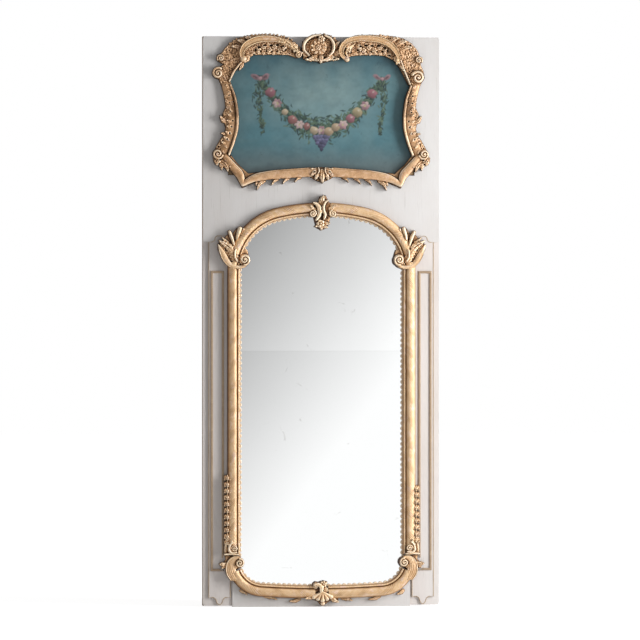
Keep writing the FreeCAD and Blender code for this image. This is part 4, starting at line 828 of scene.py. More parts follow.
gilding = gildedFinish("gilded_carving", goldTones)
paleGilding = gildedFinish("gilded_ornament", paleTones)
smoothGilding = gildedFinish("gilded_moulding", smoothTones)
greyPaint = paintedFinish("painted_wood", greyTones)
wingPaint = paintedFinish("painted_wing", dict(greyTones, dark="#d0c8c2", plain="#dad3cf", light="#dfdbd8"))
greyPaintLevel = paintedFinish("painted_wood_level", greyTones, grain=(0.55, 9, 9))
oakTones = ("#6d5235", "#866643", "#9a7850", "#5b4128", "#94887a")
stretcherTones = ("#93734b", "#b08e62", "#c3a47a", "#7c5b36", "#a2978a")
oakUpright = woodFinish("back_oak_upright", oakTones, True)
oakLevel = woodFinish("back_oak_level", oakTones, False)
pineBoard = woodFinish("backing_pine", ("#8a6a43", "#a5825a", "#b99870", "#74532f", "#9c9284"), True)
stretcherUpright = woodFinish("stretcher_pine_upright", stretcherTones, True)
stretcherLevel = woodFinish("stretcher_pine_level", stretcherTones, False)
iron = ironFinish("iron_fittings")
upperGlass = glassFinish("mirror_glass_upper", (0, 0, 0), "#eff0f0")
lowerGlass = glassFinish("mirror_glass_lower", (0, 0, 0.013), "#f1f2f2")
brownTrim = gildedFinish("brown_trim", {
    "gold": [(0.0, "#a38c74"), (0.12, "#b8a388"), (0.3, "#c9b69b"), (0.6, "#d3c4ad")],
    "chalk": "#d8d0c4", "chalkShare": 0.5, "bole": "#8f7154", "boleShare": 0.5, "patch": 40})

finishes = (        # by the start of a CAD piece's name
    (("back_stile", "back_muntin"), oakUpright), ("back_rail", oakLevel), ("mirror_backing", pineBoard),
    (("stretcher_side", "stretcher_crossbar"), stretcherUpright), ("stretcher", stretcherLevel),
    (("hanger_plates", "frame_screws"), iron), ("mirror_plate_upper", upperGlass),
    ("mirror_plate_lower", lowerGlass), ("bottom_board", greyPaintLevel),
    (("top_board", "arch_board", "mirror_stile", "upper_plank"), greyPaint),
    (("wing_board", "wing_panel"), wingPaint), ("wing_moulding", brownTrim))
wornEdge = {"width": 0.9, "segments": 2, "angle": 50}

for node, thing in nodes.items():
    finish = next((finish for stems, finish in finishes if node.startswith(stems)), None)
    if finish:
        thing.data.materials.clear()
        thing.data.materials.append(finish)
    if node.startswith(("mirror_stile", "wing_", "upper_plank", "bottom_board", "top_board", "arch_board")):
        edge = thing.modifiers.new("worn edge", "BEVEL")
        edge.width, edge.segments = wornEdge["width"] * mm, wornEdge["segments"]
        edge.angle_limit = math.radians(wornEdge["angle"])
print("boards, back and glass finished")

# the painting's carved frame, one block of carving cut where the pieces join

cartouche = newBlock(-434, 434, 1598, 2222)
leftSide = dict(cartouche, x=cartouche["x"] + 7, left=cartouche["left"] + 7)
for flip, corner, sideBlock in ((1, upperCorner, cartouche), (-1, upperCornerLeft, leftSide)):
    carveMotifs(cartouche, corner, flip)
    carveMotifs(sideBlock, upright, flip)
    carveMotifs(cartouche, smoothCorner, flip)
carveMotifs(cartouche, crest)
carveMotifs(cartouche, clasp)
cartouche["level"] = blurred(cartouche["level"], 0.7)
# painted shadow in the pits and painted shade in the hollows
cartoucheHollow = 0.48 + 0.95 * (hollows(cartouche) - 0.5) - 0.4 * cartouche["pitShade"]
# painted shade: the carving's left end is made darker, on the side away from the light
cartoucheHollow -= 0.07 * fade(-cartouche["x"], 250, 320)


def leftOf(a, b):
    # a distance that is positive to the left of the line from a to b
    run = math.dist(a, b)
    return lambda x, z: ((b[0] - a[0]) * (z - a[1]) - (b[1] - a[1]) * (x - a[0])) / run


upperJoint = leftOf((351, 2022), (394, 2072))
lowerJoint = leftOf((378, 1708), (352, 1747))
crestJoint = leftOf((74, 2112), (84, 2170))
middleHeight = 1888
cuts = {
    "cartouche_side": lambda x, z: np.minimum(np.minimum(-upperJoint(x, z), -lowerJoint(x, z)), x - 200),
    "cartouche_upper": lambda x, z: np.minimum(
        np.maximum(upperJoint(x, z), 351 - x), np.minimum(-crestJoint(x, z), z - middleHeight)),
    "cartouche_lower": lambda x, z: np.minimum(np.minimum(lowerJoint(x, z), x - 44), middleHeight - z),
}
for stem, cut in cuts.items():
    carve(stem + "_carving_right", cartouche, stem + "_right", gilding, cut, hollow=cartoucheHollow)
    carve(stem + "_carving_left", cartouche, stem + "_left", gilding, lambda x, z: cut(-x, z),
          hollow=cartoucheHollow)
carve("cartouche_crest_carving", cartouche, "cartouche_crest", gilding,
      lambda x, z: np.minimum(np.minimum(crestJoint(x, z), crestJoint(-x, z)), z - middleHeight),
      hollow=cartoucheHollow)
carve("cartouche_clasp_carving", cartouche, "cartouche_clasp", gilding,
      lambda x, z: np.minimum(44 - np.abs(x), middleHeight - z), hollow=cartoucheHollow)
for side, motifs, left, right in (("right", rightScroll, 50, 330), ("left", leftScroll, -336, -66)):
    scrollBlock = newBlock(left, right, 2070, 2222)
    carveMotifs(scrollBlock, motifs)
    scrollBlock["level"] = blurred(scrollBlock["level"], 0.7)
    carve("top_scroll_carving_" + side, scrollBlock, "top_scroll_" + side, smoothGilding, foot=8,
          hollow=hollows(scrollBlock) + 0.09)
print("painting's frame carved")

# the mirror's moulding: a profile swept along the sight edge, with ribbons bound round it


def arcPoints(middle, radius, low, high, spacing=2.0):
    count = max(2, round(radius * abs(high - low) / spacing))
    angle = np.linspace(low, high, count + 1)
    return np.stack([middle[0] + radius * np.cos(angle), middle[1] + radius * np.sin(angle)], axis=1)


def sightParts():
    # the right half of the sight edge from the foot to the crown: foot arc, corner, side, shoulder, crown
    half, spring = sight["half"], sight["spring"]
    radius, corner = sight["shoulderRadius"], sight["cornerRadius"]
    across, rise = half - radius, sight["crown"] - spring
    crownRadius = (across ** 2 + rise ** 2 - radius ** 2) / (2 * (rise - radius))
    crownMiddle = (0, sight["crown"] - crownRadius)
    crownAngle = math.atan2(spring - crownMiddle[1], across)
    cornerX, lift = half - corner, corner + sight["cornerRise"]
    footRadius = (cornerX ** 2 + lift ** 2 - corner ** 2) / (2 * (lift - corner))
    footMiddle, cornerMiddle = (0, sight["foot"] + footRadius), (cornerX, sight["foot"] + lift)
    footAngle = math.atan2(cornerMiddle[1] - footMiddle[1], cornerX)
    side = np.linspace(cornerMiddle[1], spring, 560)
    return {
        "foot": arcPoints(footMiddle, footRadius, -math.pi / 2, footAngle),
        "corner": arcPoints(cornerMiddle, corner, footAngle, 0),
        "side": np.stack([np.full(560, half), side], axis=1),
        "shoulder": arcPoints((across, spring), radius, 0, crownAngle),
        "crown": arcPoints(crownMiddle, crownRadius, crownAngle, math.pi / 2)}


moulding = {"margins": np.concatenate([[4], np.arange(4.5, 53, 1.15), [53]]), "wrapPitch": 89,
            "middle": 30, "inner": 14.5, "outer": 22.5, "foot": 10, "rise": 18.5,
            "bead": 10, "beadHalf": 4.6, "beadRise": 9, "beadPitch": 9.5, "gougePitch": 12.5}


def ribbonGap(margin, along):
    # how far a spot is from the nearest ribbon's middle line, which winds round the torus
    turn = ((along + (margin - moulding["middle"])) / moulding["wrapPitch"]) % 1.0
    return np.minimum(turn, 1 - turn) * moulding["wrapPitch"]


def mouldingLevel(margin, along):
    # bead next to the glass, quirk, torus with a long outer flank
    foot, inner, outer = moulding["foot"], moulding["inner"], moulding["outer"]
    offset = margin - moulding["middle"]
    rounded = np.clip(1 - np.abs(offset / np.where(offset < 0, inner, outer)) ** 2.2, 0, 1) ** 0.55
    level = np.where((offset > -inner) & (offset < outer), foot + moulding["rise"] * rounded, foot)
    onBead = np.abs(margin - moulding["bead"]) < moulding["beadHalf"]
    bead = np.sqrt(np.clip(1 - ((margin - moulding["bead"]) / moulding["beadHalf"]) ** 2, 0, 1))
    level = np.maximum(level, np.where(onBead, foot + moulding["beadRise"] * bead, 0))
    onTorus = fade(inner - np.abs(margin - 31), 0, 2)
    near = ribbonGap(margin, along)
    ribbon = np.maximum(bump(near, 8, 2.2), bump(near, 0, 2.4))
    level = level + onTorus * (0.9 * ribbon - 1.6 * bump(near, 4, 1.2) - 1.2 * bump(near, 11.5, 1.2))
    gouge = (along + np.abs(margin - moulding["middle"]) * 1.6) / moulding["gougePitch"]
    level -= onTorus * fade(near, 12, 18) * 0.9 * bump(gouge % 1.0, 0.5, 0.16)
    level -= np.where(onBead, 1.0, 0) * bump((along / moulding["beadPitch"]) % 1.0, 0.5, 0.16)
    return level + 0.5 * grain(along, margin, 23, 8) + 0.35 * grain(along, margin, 6, 9)


def mouldingHollow(margin, level):
    # painted light and shade on the moulding: the higher parts and the bead lighter, the quirk and the
    # outer flank darker
    shade = 0.4 + 0.22 * fade(level, 12, 27) - 0.13 * bump(margin, 15.2, 1.0) - 0.14 * fade(margin, 43, 50)
    return np.clip(shade + 0.2 * bump(margin, 10, 3), 0, 1)


def sweep(name, line, node, flip=1, startAlong=0.0):
    # the moulding along a line of the sight edge, closed at both ends and at the back
    heading = np.gradient(line, axis=0)
    heading /= np.linalg.norm(heading, axis=1)[:, None]
    out = np.stack([heading[:, 1], -heading[:, 0]], axis=1)
    margins = moulding["margins"]
    along = startAlong + np.concatenate([[0], np.cumsum(np.linalg.norm(np.diff(line, axis=0), axis=1))])
    alongs, wide = np.meshgrid(along, margins, indexing="ij")
    level = mouldingLevel(wide, alongs)
    # painted shade in the dips and painted highlight on the crests
    hollow = mouldingHollow(wide, level) + 0.09 * np.clip(level - blurred(level, 3), -1.4, 0.8)
    # painted light: the right moulding's outer flank lighter, the left one's darker, as the light falls
    # from the right
    hollow += (0.1 if flip > 0 else -0.12) * fade(wide, 40, 47)
    near = ribbonGap(wide, alongs)
    # painted shade in the grooves beside the ribbons
    hollow -= (0.34 * bump(near, 4, 1.0) + 0.24 * bump(near, 11.5, 0.9)) * fade(14.5 - np.abs(wide - 31), 0,
        2)
    x = line[:, None, 0] + out[:, None, 0] * wide
    z = line[:, None, 1] + out[:, None, 1] * wide
    rows, columns = x.shape
    front = np.stack([flip * x, -(boardFace + level), z], axis=2).reshape(-1, 3)
    back = np.stack([flip * x, np.full(x.shape, -boardFace), z], axis=2)[:, [0, -1]].reshape(-1, 3)
    index = np.arange(rows * columns).reshape(rows, columns)
    base = rows * columns + np.arange(rows * 2).reshape(rows, 2)
    faces = np.stack([index[:-1, :-1], index[:-1, 1:], index[1:, 1:], index[1:, :-1]], axis=2).reshape(-1,
        4).tolist()
    for r in range(rows - 1):
        faces.append([index[r, 0], index[r + 1, 0], base[r + 1, 0], base[r, 0]])
        faces.append([index[r + 1, -1], index[r, -1], base[r, 1], base[r + 1, 1]])
        faces.append([base[r, 0], base[r + 1, 0], base[r + 1, 1], base[r, 1]])
    faces.append(list(index[0, ::-1]) + [base[0, 0], base[0, 1]])
    faces.append(list(index[-1, :]) + [base[-1, 1], base[-1, 0]])
    if flip > 0:
        faces = [face[::-1] for face in faces]
    # the back is set low, so the walls darken down to the board as painted shade
    shade = np.concatenate([hollow.ravel(), np.full(rows * 2, 0.2)])
    return newPiece(name, np.vstack([front, back]), faces, node, smoothGilding, shade)


parts = list(sightParts().values())
sightLine = np.vstack(parts[:1] + [part[1:] for part in parts[1:]])


def clipped(line, left, right, foot, top):
    # the part of a line inside a box
    inside = (line[:, 0] >= left) & (line[:, 0] <= right) & (line[:, 1] >= foot) & (line[:, 1] <= top)
    return line[inside]


sideLine = clipped(sightLine, 300, 400, 202, 1326)
archLine = clipped(sightLine, 30, 311.9, 1352, 1600)
footLine = clipped(sightLine, 24, 311.5, 0, 150)
for side, flip in (("right", 1), ("left", -1)):
    sweep("side_moulding_swept_" + side, sideLine, "side_moulding_" + side, flip, 20 if flip > 0 else 64)
    sweep("arch_moulding_swept_" + side, archLine, "arch_moulding_" + side, flip, 12)
    sweep("bottom_moulding_swept_" + side, footLine, "bottom_moulding_" + side, flip, 40)


ornaments = (
    ("shoulder_shell", shell, (252, 410, 1296, 1492), True),
    ("corner_scroll", cornerLeaves, (290, 410, 104, 284), True),
    ("arch_crest", archCrest, (-70, 70, 1444, 1592), False),
    ("bottom_spray", spray, (-74, 74, 2, 104), False),
)
for stem, motifs, (left, right, foot, top), paired in ornaments:
    block = newBlock(left, right, foot, top)
    carveMotifs(block, motifs)
    block["level"] = blurred(block["level"], 0.6)
    if stem == "shoulder_shell":
        # the moulding runs down in front of the shell to its volute
        away = np.hypot(block["x"] - (sight["half"] - sight["shoulderRadius"]),
                        block["z"] - sight["spring"])
        behind = np.where(block["z"] > 1378, away - sight["shoulderRadius"] - 46, 9)
        block["cover"] = np.minimum(block["cover"], behind)
    if paired:
        carve(stem + "_carving_right", block, stem + "_right", paleGilding)
        carve(stem + "_carving_left", flippedBlock(block), stem + "_left", paleGilding)
    else:
        carve(stem + "_carving", block, stem, paleGilding)
print("mirror's frame carved")

# small gilded pieces


def tube(name, rings, node, material, shade):
    # a closed mesh from rings of points that lead back to the first ring
    count, around = rings.shape[:2]
    index = np.arange(count * around).reshape(count, around)
    following, beside = np.roll(index, -1, axis=0), np.roll(index, -1, axis=1)
    faces = np.stack([index, beside, np.roll(following, -1, axis=1), following], axis=2).reshape(-1, 4)
    return newPiece(name, rings.reshape(-1, 3), faces, node, material,
                    shade.ravel(), sharp=40)


def outwardOf(loop):
    # the direction across a closed line at each of its points
    heading = np.roll(loop, -1, axis=0) - np.roll(loop, 1, axis=0)
    heading /= np.linalg.norm(heading, axis=1)[:, None]
    return np.stack([heading[:, 1], -heading[:, 0]], axis=1)


def ringsAlong(loop, outward, section):
    # points round a closed line, from pairs of reach outward and depth
    return np.stack([np.stack([loop[:, 0] + outward[:, 0] * reach, np.full(len(loop), depth),
                               loop[:, 1] + outward[:, 1] * reach], axis=1) for reach, depth in section],
                               axis=1)


slip = {"pitch": 20, "scallop": 7.5, "reach": -3.5, "width": 8, "front": -0.4, "back": -5}
sightLoop = np.vstack([sightLine, (sightLine * (-1, 1))[::-1][1:-1]])
along = np.concatenate([[0], np.cumsum(np.linalg.norm(np.diff(sightLoop, axis=0), axis=1))])
scallop = slip["reach"] + slip["scallop"] * (1 - np.abs(np.sin(math.pi * along / slip["pitch"])) ** 0.7)
section = [(scallop, slip["front"] - 1.6), (scallop + 1.3, slip["front"]), (slip["width"], slip["front"]),
           (slip["width"], slip["back"]), (scallop, slip["back"])]
rings = ringsAlong(sightLoop, outwardOf(sightLoop),
                   [(reach, -(boardFace + level)) for reach, level in section])
# painted shade along the scalloped edge, lighter towards the outer front
tube("sight_slips_scalloped", rings[:, ::-1], "sight_slips", paleGilding,
     np.tile([0.2, 0.2, 0.62, 0.86, 0.66], (len(sightLoop), 1)))

huskString = {"pitch": 25, "width": 20, "rise": 13, "middle": 366, "half": 18, "leftLonger": 42}
husks = span("husk_garlands")
# the left string takes the darker gilding as painted shade, on the side away from the light
for side, longer, finish in (("right", 0, paleGilding), ("left", huskString["leftLonger"], gilding)):
    middle, low, high = huskString["middle"], husks["foot"], husks["top"] + longer
    string = newBlock(middle - huskString["half"], middle + huskString["half"], low - 1, husks["top"] + 46,
                      0.8)
    strap(string, np.array([(middle, z) for z in np.arange(low + 2, high, 4)]), [6, 6], 12, 12)
    for top in np.arange(high, low + 12, -huskString["pitch"]):
        for bend, reach in ((5, 11), (-5, -11), (0, 0)):
            leaf(string, (middle, top), (middle + reach, max(top - 22, low)),
                 huskString["width"] * (0.75 if bend else 0.8), 14,
                 huskString["rise"] * (0.85 if bend else 1.2),
                 bend * 0.5, lobes=2, notch=0.1)
    string = string if side == "right" else flippedBlock(string)
    carve("husk_garland_" + side, string, "husk_garlands", finish)

footLeaves = {"width": 17, "rise": 11, "places": [
    ((322, 66), (290, 46)), ((232, 43), (180, 27)), ((75, 32), (122, 22)),
    ((-318, 66), (-286, 46)), ((-226, 43), (-170, 27)), ((-80, 32), (-128, 22))]}
for number, (root, tip) in enumerate(footLeaves["places"]):
    low, high = np.min([root, tip], axis=0) - 14, np.max([root, tip], axis=0) + 14
    leafBlock = newBlock(low[0], high[0], max(low[1], 8), high[1], 0.8)
    leaf(leafBlock, root, tip, footLeaves["width"], 0, footLeaves["rise"], 4, lobes=3, notch=0.25)
    leaf(leafBlock, root, (np.array(root) + tip) / 2 + (0, -6), 10, 0, 4.5, 2, lobes=2)
    carve(f"foot_leaf_{number + 1}", leafBlock, "bottom_leaves", paleGilding)


def rimLoop(thing):
    # the outline of a board's front face, in order, in mm
    mesh, place = thing.data, thing.matrix_world
    points = np.array([place @ vertex.co for vertex in mesh.vertices]) / mm
    front = points[:, 1].min()
    uses = {}
    for polygon in mesh.polygons:
        if all(points[k, 1] < front + 0.01 for k in polygon.vertices):
            for pair in polygon.edge_keys:
                uses[pair] = uses.get(pair, 0) + 1
    following = {}
    for (a, b), count in uses.items():
        if count == 1:
            following.setdefault(a, []).append(b)
            following.setdefault(b, []).append(a)
    start = min(following)
    loop, previous = [start], None
    while True:
        ahead = [k for k in following[loop[-1]] if k != previous]
        previous = loop[-1]
        if not ahead or ahead[0] == start:
            break
        loop.append(ahead[0])
    return points[loop], front


# a dark brown line round each wing panel's rim, a painted shadow of the panel's raised edge
rimSection = ((-2.8, 0.5), (-2.2, -1.0), (-0.2, -1.0),
              (0.5, 0.5))     # reach and height of the painted line
for side in ("left", "right"):
    rim, front = rimLoop(nodes["wing_panel_" + side])
    rim = rim[:, [0, 2]]
    spin = np.sum(rim[:, 0] * np.roll(rim[:, 1], -1) - rim[:, 1] * np.roll(rim[:, 0], -1))
    rings = ringsAlong(rim, outwardOf(rim) * np.sign(spin),
                       [(reach, front + level) for reach, level in rimSection])
    rings = rings if spin < 0 else rings[:, ::-1]
    tube("wing_edge_line_" + side, rings, None, brownTrim, np.full(rings.shape[:2], 0.1))
print("small pieces done")

# the painting: a hanging garland of leaves, fruit and flowers on a blue-green ground

picture = {"step": 2.0, "sky": "#497b86", "skyTop": "#3d6875", "glow": "#93a6a1", "mist": "#706d69",
           "half": 236, "low": 1838, "rise": 196, "leaves": 1000, "tailLeaves": 110, "tailDrop": 210}
canvasSpan = span("painting_canvas")
canvasX = np.arange(canvasSpan["left"], canvasSpan["right"] + 0.1, picture["step"])
canvasZ = np.linspace(canvasSpan["foot"], canvasSpan["top"], 234)
paintX, paintZ = np.meshgrid(canvasX, canvasZ)
paint = np.zeros(paintX.shape + (3,))
chance = np.random.default_rng(11)
shakyX = paintX + 1.8 * grain(paintX, paintZ, 7, 40) + 2.4 * grain(paintX, paintZ, 19, 41)
shakyZ = paintZ + 1.8 * grain(paintX, paintZ, 7, 42) + 2.4 * grain(paintX, paintZ, 19, 43)


def tone(code):
    return np.array(colour(code)[:3])


def wash(code, amount):
    paint[:] = paint + (tone(code) - paint) * np.clip(amount, 0, 1)[..., None]


def dab(x, z, long, wide, angle, code, amount=1.0, edge=0.35, shade=0.0):
    # one touch of the brush, darker on its lower side by the share shade
    reach = max(long, wide) * 1.2 + 2
    columns = slice(*np.searchsorted(canvasX, (x - reach, x + reach)))
    rows = slice(*np.searchsorted(canvasZ, (z - reach, z + reach)))
    dx, dz = shakyX[rows, columns] - x, shakyZ[rows, columns] - z
    a, b = math.cos(angle), math.sin(angle)
    away = np.hypot((dx * a + dz * b) / long, (dz * a - dx * b) / wide)
    cover = (amount * fade(1 + edge - away, 0, 2 * edge))[..., None]
    lit = np.clip(1 + shade * (dx * 0.5 + dz) / max(long, wide), 0.25, 1.6)[..., None]
    paint[rows, columns] += (tone(code) * lit - paint[rows, columns]) * cover


def swag(x):
    # height of the garland's middle line
    return picture["low"] + picture["rise"] * (x / picture["half"]) ** 2


wash(picture["sky"], np.ones(paintX.shape))
wash(picture["skyTop"], fade(paintZ, 1990, 2130) * 0.7 + 0.25 * grain(paintX, paintZ, 70, 20))
wash(picture["glow"], bump(np.hypot(paintX / 250, (paintZ - 1975) / 130), 0, 0.95) * 0.5
     + 0.12 * grain(paintX, paintZ, 45, 21))
wash(picture["mist"], fade(1800 - paintZ, 0, 120) * 0.55)
for _ in range(160):
    dab(chance.uniform(-340, 340), chance.uniform(1690, 2120), chance.uniform(16, 44),
        chance.uniform(4, 10),
        chance.normal(0, 0.25), chance.choice(["#5b828a", "#3f6874", "#6d8f92", "#345766"]), 0.13, 0.9)

leafCodes = ["#2c4038", "#38503f", "#4a6350", "#27393a", "#5b6f55"]
petalCodes = ["#a97f84", "#946a72", "#b99a97"]
grapeCodes = ["#4d4a68", "#5f5b7e", "#3c3a55"]
fruitCodes = ["#8f5560", "#a58a6b", "#8b5653", "#ab9577", "#988763"]
for _ in range(picture["leaves"]):
    x = chance.uniform(-1, 1) * picture["half"]
    slope = math.atan(2 * picture["rise"] * x / picture["half"] ** 2)
    thick = 9 + 13 * (1 - (x / picture["half"]) ** 2)
    dab(x + chance.normal(0, 4), swag(x) + chance.normal(0, thick), chance.uniform(7, 13),
        chance.uniform(2.4, 4.2),
        slope + chance.normal(0, 0.9), chance.choice(leafCodes), 0.85, 0.35, 0.35)
for side in (-1, 1):
    # the garland's tail and the bow it hangs from
    knotX, knotZ = side * picture["half"], swag(picture["half"])
    for _ in range(picture["tailLeaves"]):
        drop = chance.uniform(0, 1)
        dab(knotX + side * 9 * math.sin(drop * 5) + chance.normal(0, 11 - 8 * drop),
            knotZ - picture["tailDrop"] * drop,
            chance.uniform(6, 11), chance.uniform(2.2, 3.6), chance.normal(1.57, 0.7),
            chance.choice(leafCodes),
            0.85, 0.35, 0.35)
    for loop in (-1, 1):
        dab(knotX + loop * 19, knotZ + 10, 18, 9, loop * 0.5, petalCodes[1], 0.95, 0.25, 0.5)
        dab(knotX + loop * 19, knotZ + 10, 9, 3.5, loop * 0.5, "#5a4448", 0.8, 0.4)
    dab(knotX, knotZ + 3, 7, 7, 0, petalCodes[0], 1, 0.3, 0.5)
for row in range(5):
    # a bunch of grapes under the lowest point
    for k in range(5 - row):
        dab((k - (4 - row) / 2) * 13, picture["low"] - 24 - row * 12, 8, 8, 0, chance.choice(grapeCodes), 1,
            0.2, 0.6)
for number, x in enumerate(np.linspace(-0.84, 0.84, 15) * picture["half"]):
    z, size = swag(x) + chance.normal(0, 4), chance.uniform(13, 20)
    if number % 3 == 1:
        for k in range(6):
            turn = k * math.pi / 3
            dab(x + 9 * math.cos(turn), z + 9 * math.sin(turn), 9, 6.2, turn, chance.choice(petalCodes),
                0.95, 0.3, 0.4)
        dab(x, z, 5, 5, 0, "#b3a27c", 1, 0.3)
    else:
        dab(x, z, size, size * 0.93, 0.2, chance.choice(fruitCodes), 1, 0.16, 0.55)
        dab(x + size * 0.3, z + size * 0.38, size * 0.26, size * 0.18, 0.6, "#c9c0b2", 0.55, 0.8)
dim = bump(np.hypot(paintX / 390, (paintZ - 1900) / 255), 0, 1.15)
paint = paint * 0.8 + 0.2 * paint.mean(axis=2, keepdims=True) * tone("#c6dcdc") * 1.45
paint *= (0.55 + 0.44 * dim)[..., None]
paint *= (1 + 0.05 * grain(paintX, paintZ, 9, 31) + 0.06 * grain(paintX, paintZ, 28, 32))[..., None]

# the canvas keeps behind the slanting lower corners of its frame
limit = np.interp(paintZ, [1640, 1668, 1698, 1728, 1752], [290, 306, 336, 362, 400])
paintX = np.sign(paintX) * np.minimum(np.abs(paintX), limit)
rows, columns = paintX.shape
canvasFront, canvasBack = canvasSpan["front"], canvasSpan["back"]
sag = 0.9 * np.cos(paintX / 362 * math.pi / 2) * np.cos((paintZ - 1900) / 234 * math.pi / 2)
frontPoints = np.stack([paintX, canvasFront + np.minimum(sag, 0.9) * 0.5, paintZ], axis=2).reshape(-1, 3)
index = np.arange(rows * columns).reshape(rows, columns)
grid = np.stack([index[:-1, :-1], index[:-1, 1:], index[1:, 1:], index[1:, :-1]], axis=2).reshape(-1, 4)
rim = np.concatenate([index[0, :-1], index[:-1, -1], index[-1, :0:-1], index[:0:-1, 0]])
backPoints = frontPoints[rim] * (1, 0, 1) + (0, canvasBack, 0)
total = rows * columns
backRim = total + np.arange(len(rim))
walls = np.stack([rim, backRim, np.roll(backRim, -1), np.roll(rim, -1)], axis=1)
canvasFaces = grid.tolist() + walls.tolist() + [backRim[::-1].tolist()]

oil, oilTree, oilShader = newFinish("painted_canvas", Roughness=0.42)
oilColour = add(oilTree, "Attribute", {"attribute_name": "paint"})
weave = add(oilTree, "TexWave", {"bands_direction": "X"}, Vector=stretched(oilTree), Scale=150,
            Distortion=1.0)
weaveUp = add(oilTree, "TexWave", {"bands_direction": "Z"}, Vector=stretched(oilTree), Scale=150,
              Distortion=1.0)
crackle = steps(oilTree, mottle(oilTree, stretched(oilTree), 26, 8, 0.8), (0.3, 0.0), (0.42, 1.0))
oilTree.links.new(mixed(oilTree, 0.35, oilColour, mixed(oilTree, 1.0, oilColour, crackle, "MULTIPLY")),
                  oilShader.inputs["Base Color"])
relief(oilTree, oilShader, sums(oilTree, "ADD", weave, weaveUp), 0.12, 0.0004)
linen, linenTree, linenShader = newFinish("canvas_linen", Roughness=0.85)
thread = mottle(linenTree, stretched(linenTree, (90, 90, 3)), 6, 3)
threadAcross = mottle(linenTree, stretched(linenTree, (3, 90, 90)), 6, 3)
linenTree.links.new(steps(linenTree, sums(linenTree, "MULTIPLY", thread, threadAcross), (0.1, "#8b7b60"),
                          (0.4, "#b8a888")),
                    linenShader.inputs["Base Color"])
relief(linenTree, linenShader, sums(linenTree, "ADD", thread, threadAcross), 0.3, 0.0005)

canvas = newPiece("painting_on_canvas", np.vstack([frontPoints, backPoints]), canvasFaces,
                  "painting_canvas", oil)
canvas.data.materials.append(linen)
behind = np.zeros(len(canvas.data.polygons), np.int32)
behind[len(grid):] = 1
canvas.data.polygons.foreach_set("material_index", behind)
attribute = canvas.data.attributes.new("paint", "FLOAT_COLOR", "POINT")
shown = np.ones((total + len(rim), 4), np.float32)
shown[:total, :3] = np.clip(paint, 0, 1).reshape(-1, 3)
shown[total:, :3] = tone("#a89878")
attribute.data.foreach_set("color", shown.ravel())
print("painting done")

# floor, light and camera

view = {"azimuth": -6, "distance": 20, "height": (cadBox[0].z + cadBox[1].z) / 2 - 0.004, "tall": 2.477}
room = {"middle": 0.63, "across": 0.62, "level": 1.107, "upward": -0.46, "cloud": 0.12, "base": 0.78,
        "least": 0.3, "most": 1.12}
light = {"ambient": 0.325, "key": 115, "keyPlace": (2.6, -1.5, 1.42), "keySize": (0.8, 2.6)}


def card(name, points, material):
    mesh = bpy.data.meshes.new(name)
    mesh.from_pydata(points, [], [tuple(range(len(points)))])
    thing = bpy.data.objects.new(name, mesh)
    bpy.context.scene.collection.objects.link(thing)
    mesh.materials.append(material)
    return thing


floorFinish, floorTree, floorShader = newFinish("floor_white", Roughness=0.9)
floorShader.inputs["Base Color"].default_value = (0.82, 0.82, 0.82, 1)
floorShader.inputs["Specular IOR Level"].default_value = 0.0
path = floorTree.nodes.new("ShaderNodeLightPath")
floorGlow = add(floorTree, "Emission", Strength=sums(floorTree, "MULTIPLY", path.outputs["Is Camera Ray"],
                                                     0.74))
bright = add(floorTree, "AddShader", slot0=floorShader.outputs[0], slot1=floorGlow)
floorTree.links.new(bright, floorTree.nodes["Material Output"].inputs["Surface"])
floor = card("floor", [(-30, -30, 0), (30, -30, 0), (30, 30, 0), (-30, 30, 0)], floorFinish)
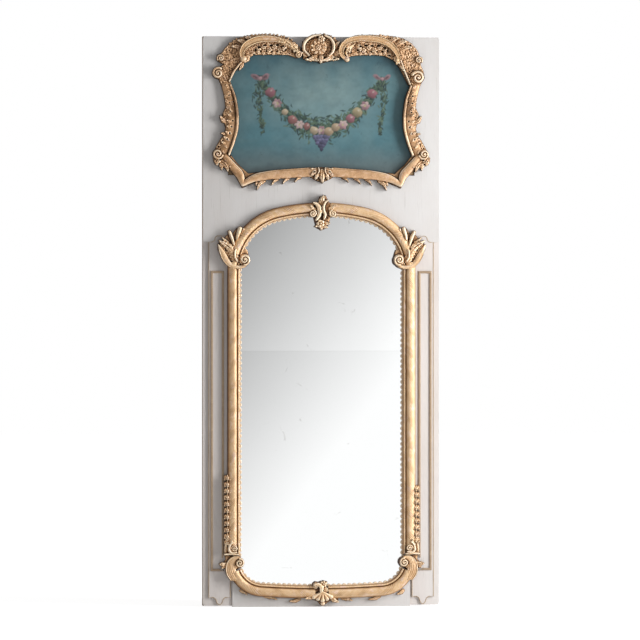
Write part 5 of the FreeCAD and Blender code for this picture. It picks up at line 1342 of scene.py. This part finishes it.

# painted reflection: a glowing card, seen only in the mirror and the gilding, that stands for a room and
# grows lighter to the right and downward
roomFinish, roomTree, roomShader = newFinish("painted_room_reflection")
roomTree.nodes.remove(roomShader)
spot = roomTree.nodes.new("ShaderNodeTexCoord").outputs["Object"]
split = roomTree.nodes.new("ShaderNodeSeparateXYZ")
roomTree.links.new(spot, split.inputs[0])
across = sums(roomTree, "MULTIPLY", sums(roomTree, "SUBTRACT", split.outputs["X"], room["middle"]),
              room["across"])
upward = sums(roomTree, "MULTIPLY", sums(roomTree, "SUBTRACT", split.outputs["Z"], room["level"]),
              room["upward"])
cloud = sums(roomTree, "MULTIPLY", mottle(roomTree, spot, 0.7, 2), room["cloud"])
shine = sums(roomTree, "ADD", sums(roomTree, "ADD", across, upward),
             sums(roomTree, "ADD", cloud, room["base"]))
shine = sums(roomTree, "MINIMUM", sums(roomTree, "MAXIMUM", shine, room["least"]), room["most"])
roomGlow = add(roomTree, "Emission", Color=(1, 1, 1, 1), Strength=shine)
roomTree.links.new(roomGlow, roomTree.nodes["Material Output"].inputs["Surface"])
roomCard = card("room_card", [(-3, -6, -2), (4, -6, -2), (4, -6, 5), (-3, -6, 5)], roomFinish)
floor.visible_glossy = False
for ray in ("visible_camera", "visible_diffuse", "visible_shadow", "visible_transmission",
            "visible_volume_scatter"):
    setattr(roomCard, ray, False)

world = bpy.data.worlds.new("studio")
bpy.context.scene.world = world
world.use_nodes = True
tree = world.node_tree
background = tree.nodes["Background"]
background.inputs["Color"].default_value = (1, 1, 1, 1)
path = tree.nodes.new("ShaderNodeLightPath")
seen = sums(tree, "MAXIMUM", sums(tree, "MAXIMUM", path.outputs["Is Camera Ray"],
                                  path.outputs["Is Glossy Ray"]),
            path.outputs["Is Transmission Ray"])
strength = sums(tree, "ADD", sums(tree, "MULTIPLY", seen, 1 - light["ambient"]), light["ambient"])
tree.links.new(strength, background.inputs["Strength"])

lamp = bpy.data.lights.new("window", "AREA")
lamp.shape, lamp.size, lamp.size_y = "RECTANGLE", *light["keySize"]
lamp.energy = light["key"]
lampObject = bpy.data.objects.new("window", lamp)
lampObject.location = light["keyPlace"]
aim = Vector((-0.1, 0, 1.1)) - Vector(light["keyPlace"])
lampObject.rotation_euler = aim.to_track_quat("-Z", "Y").to_euler()
bpy.context.scene.collection.objects.link(lampObject)

camera = bpy.data.cameras.new("camera")
camera.sensor_width = 36
camera.lens = 36 * view["distance"] / view["tall"]
camera.clip_end = 100
turn = math.radians(view["azimuth"])
cameraObject = bpy.data.objects.new("camera", camera)
cameraObject.location = (view["distance"] * math.sin(turn), -view["distance"] * math.cos(turn),
                         view["height"])
cameraObject.rotation_euler = (math.radians(90), 0, turn)
bpy.context.scene.collection.objects.link(cameraObject)
bpy.context.scene.camera = cameraObject
bpy.context.scene.view_settings.view_transform = "Standard"
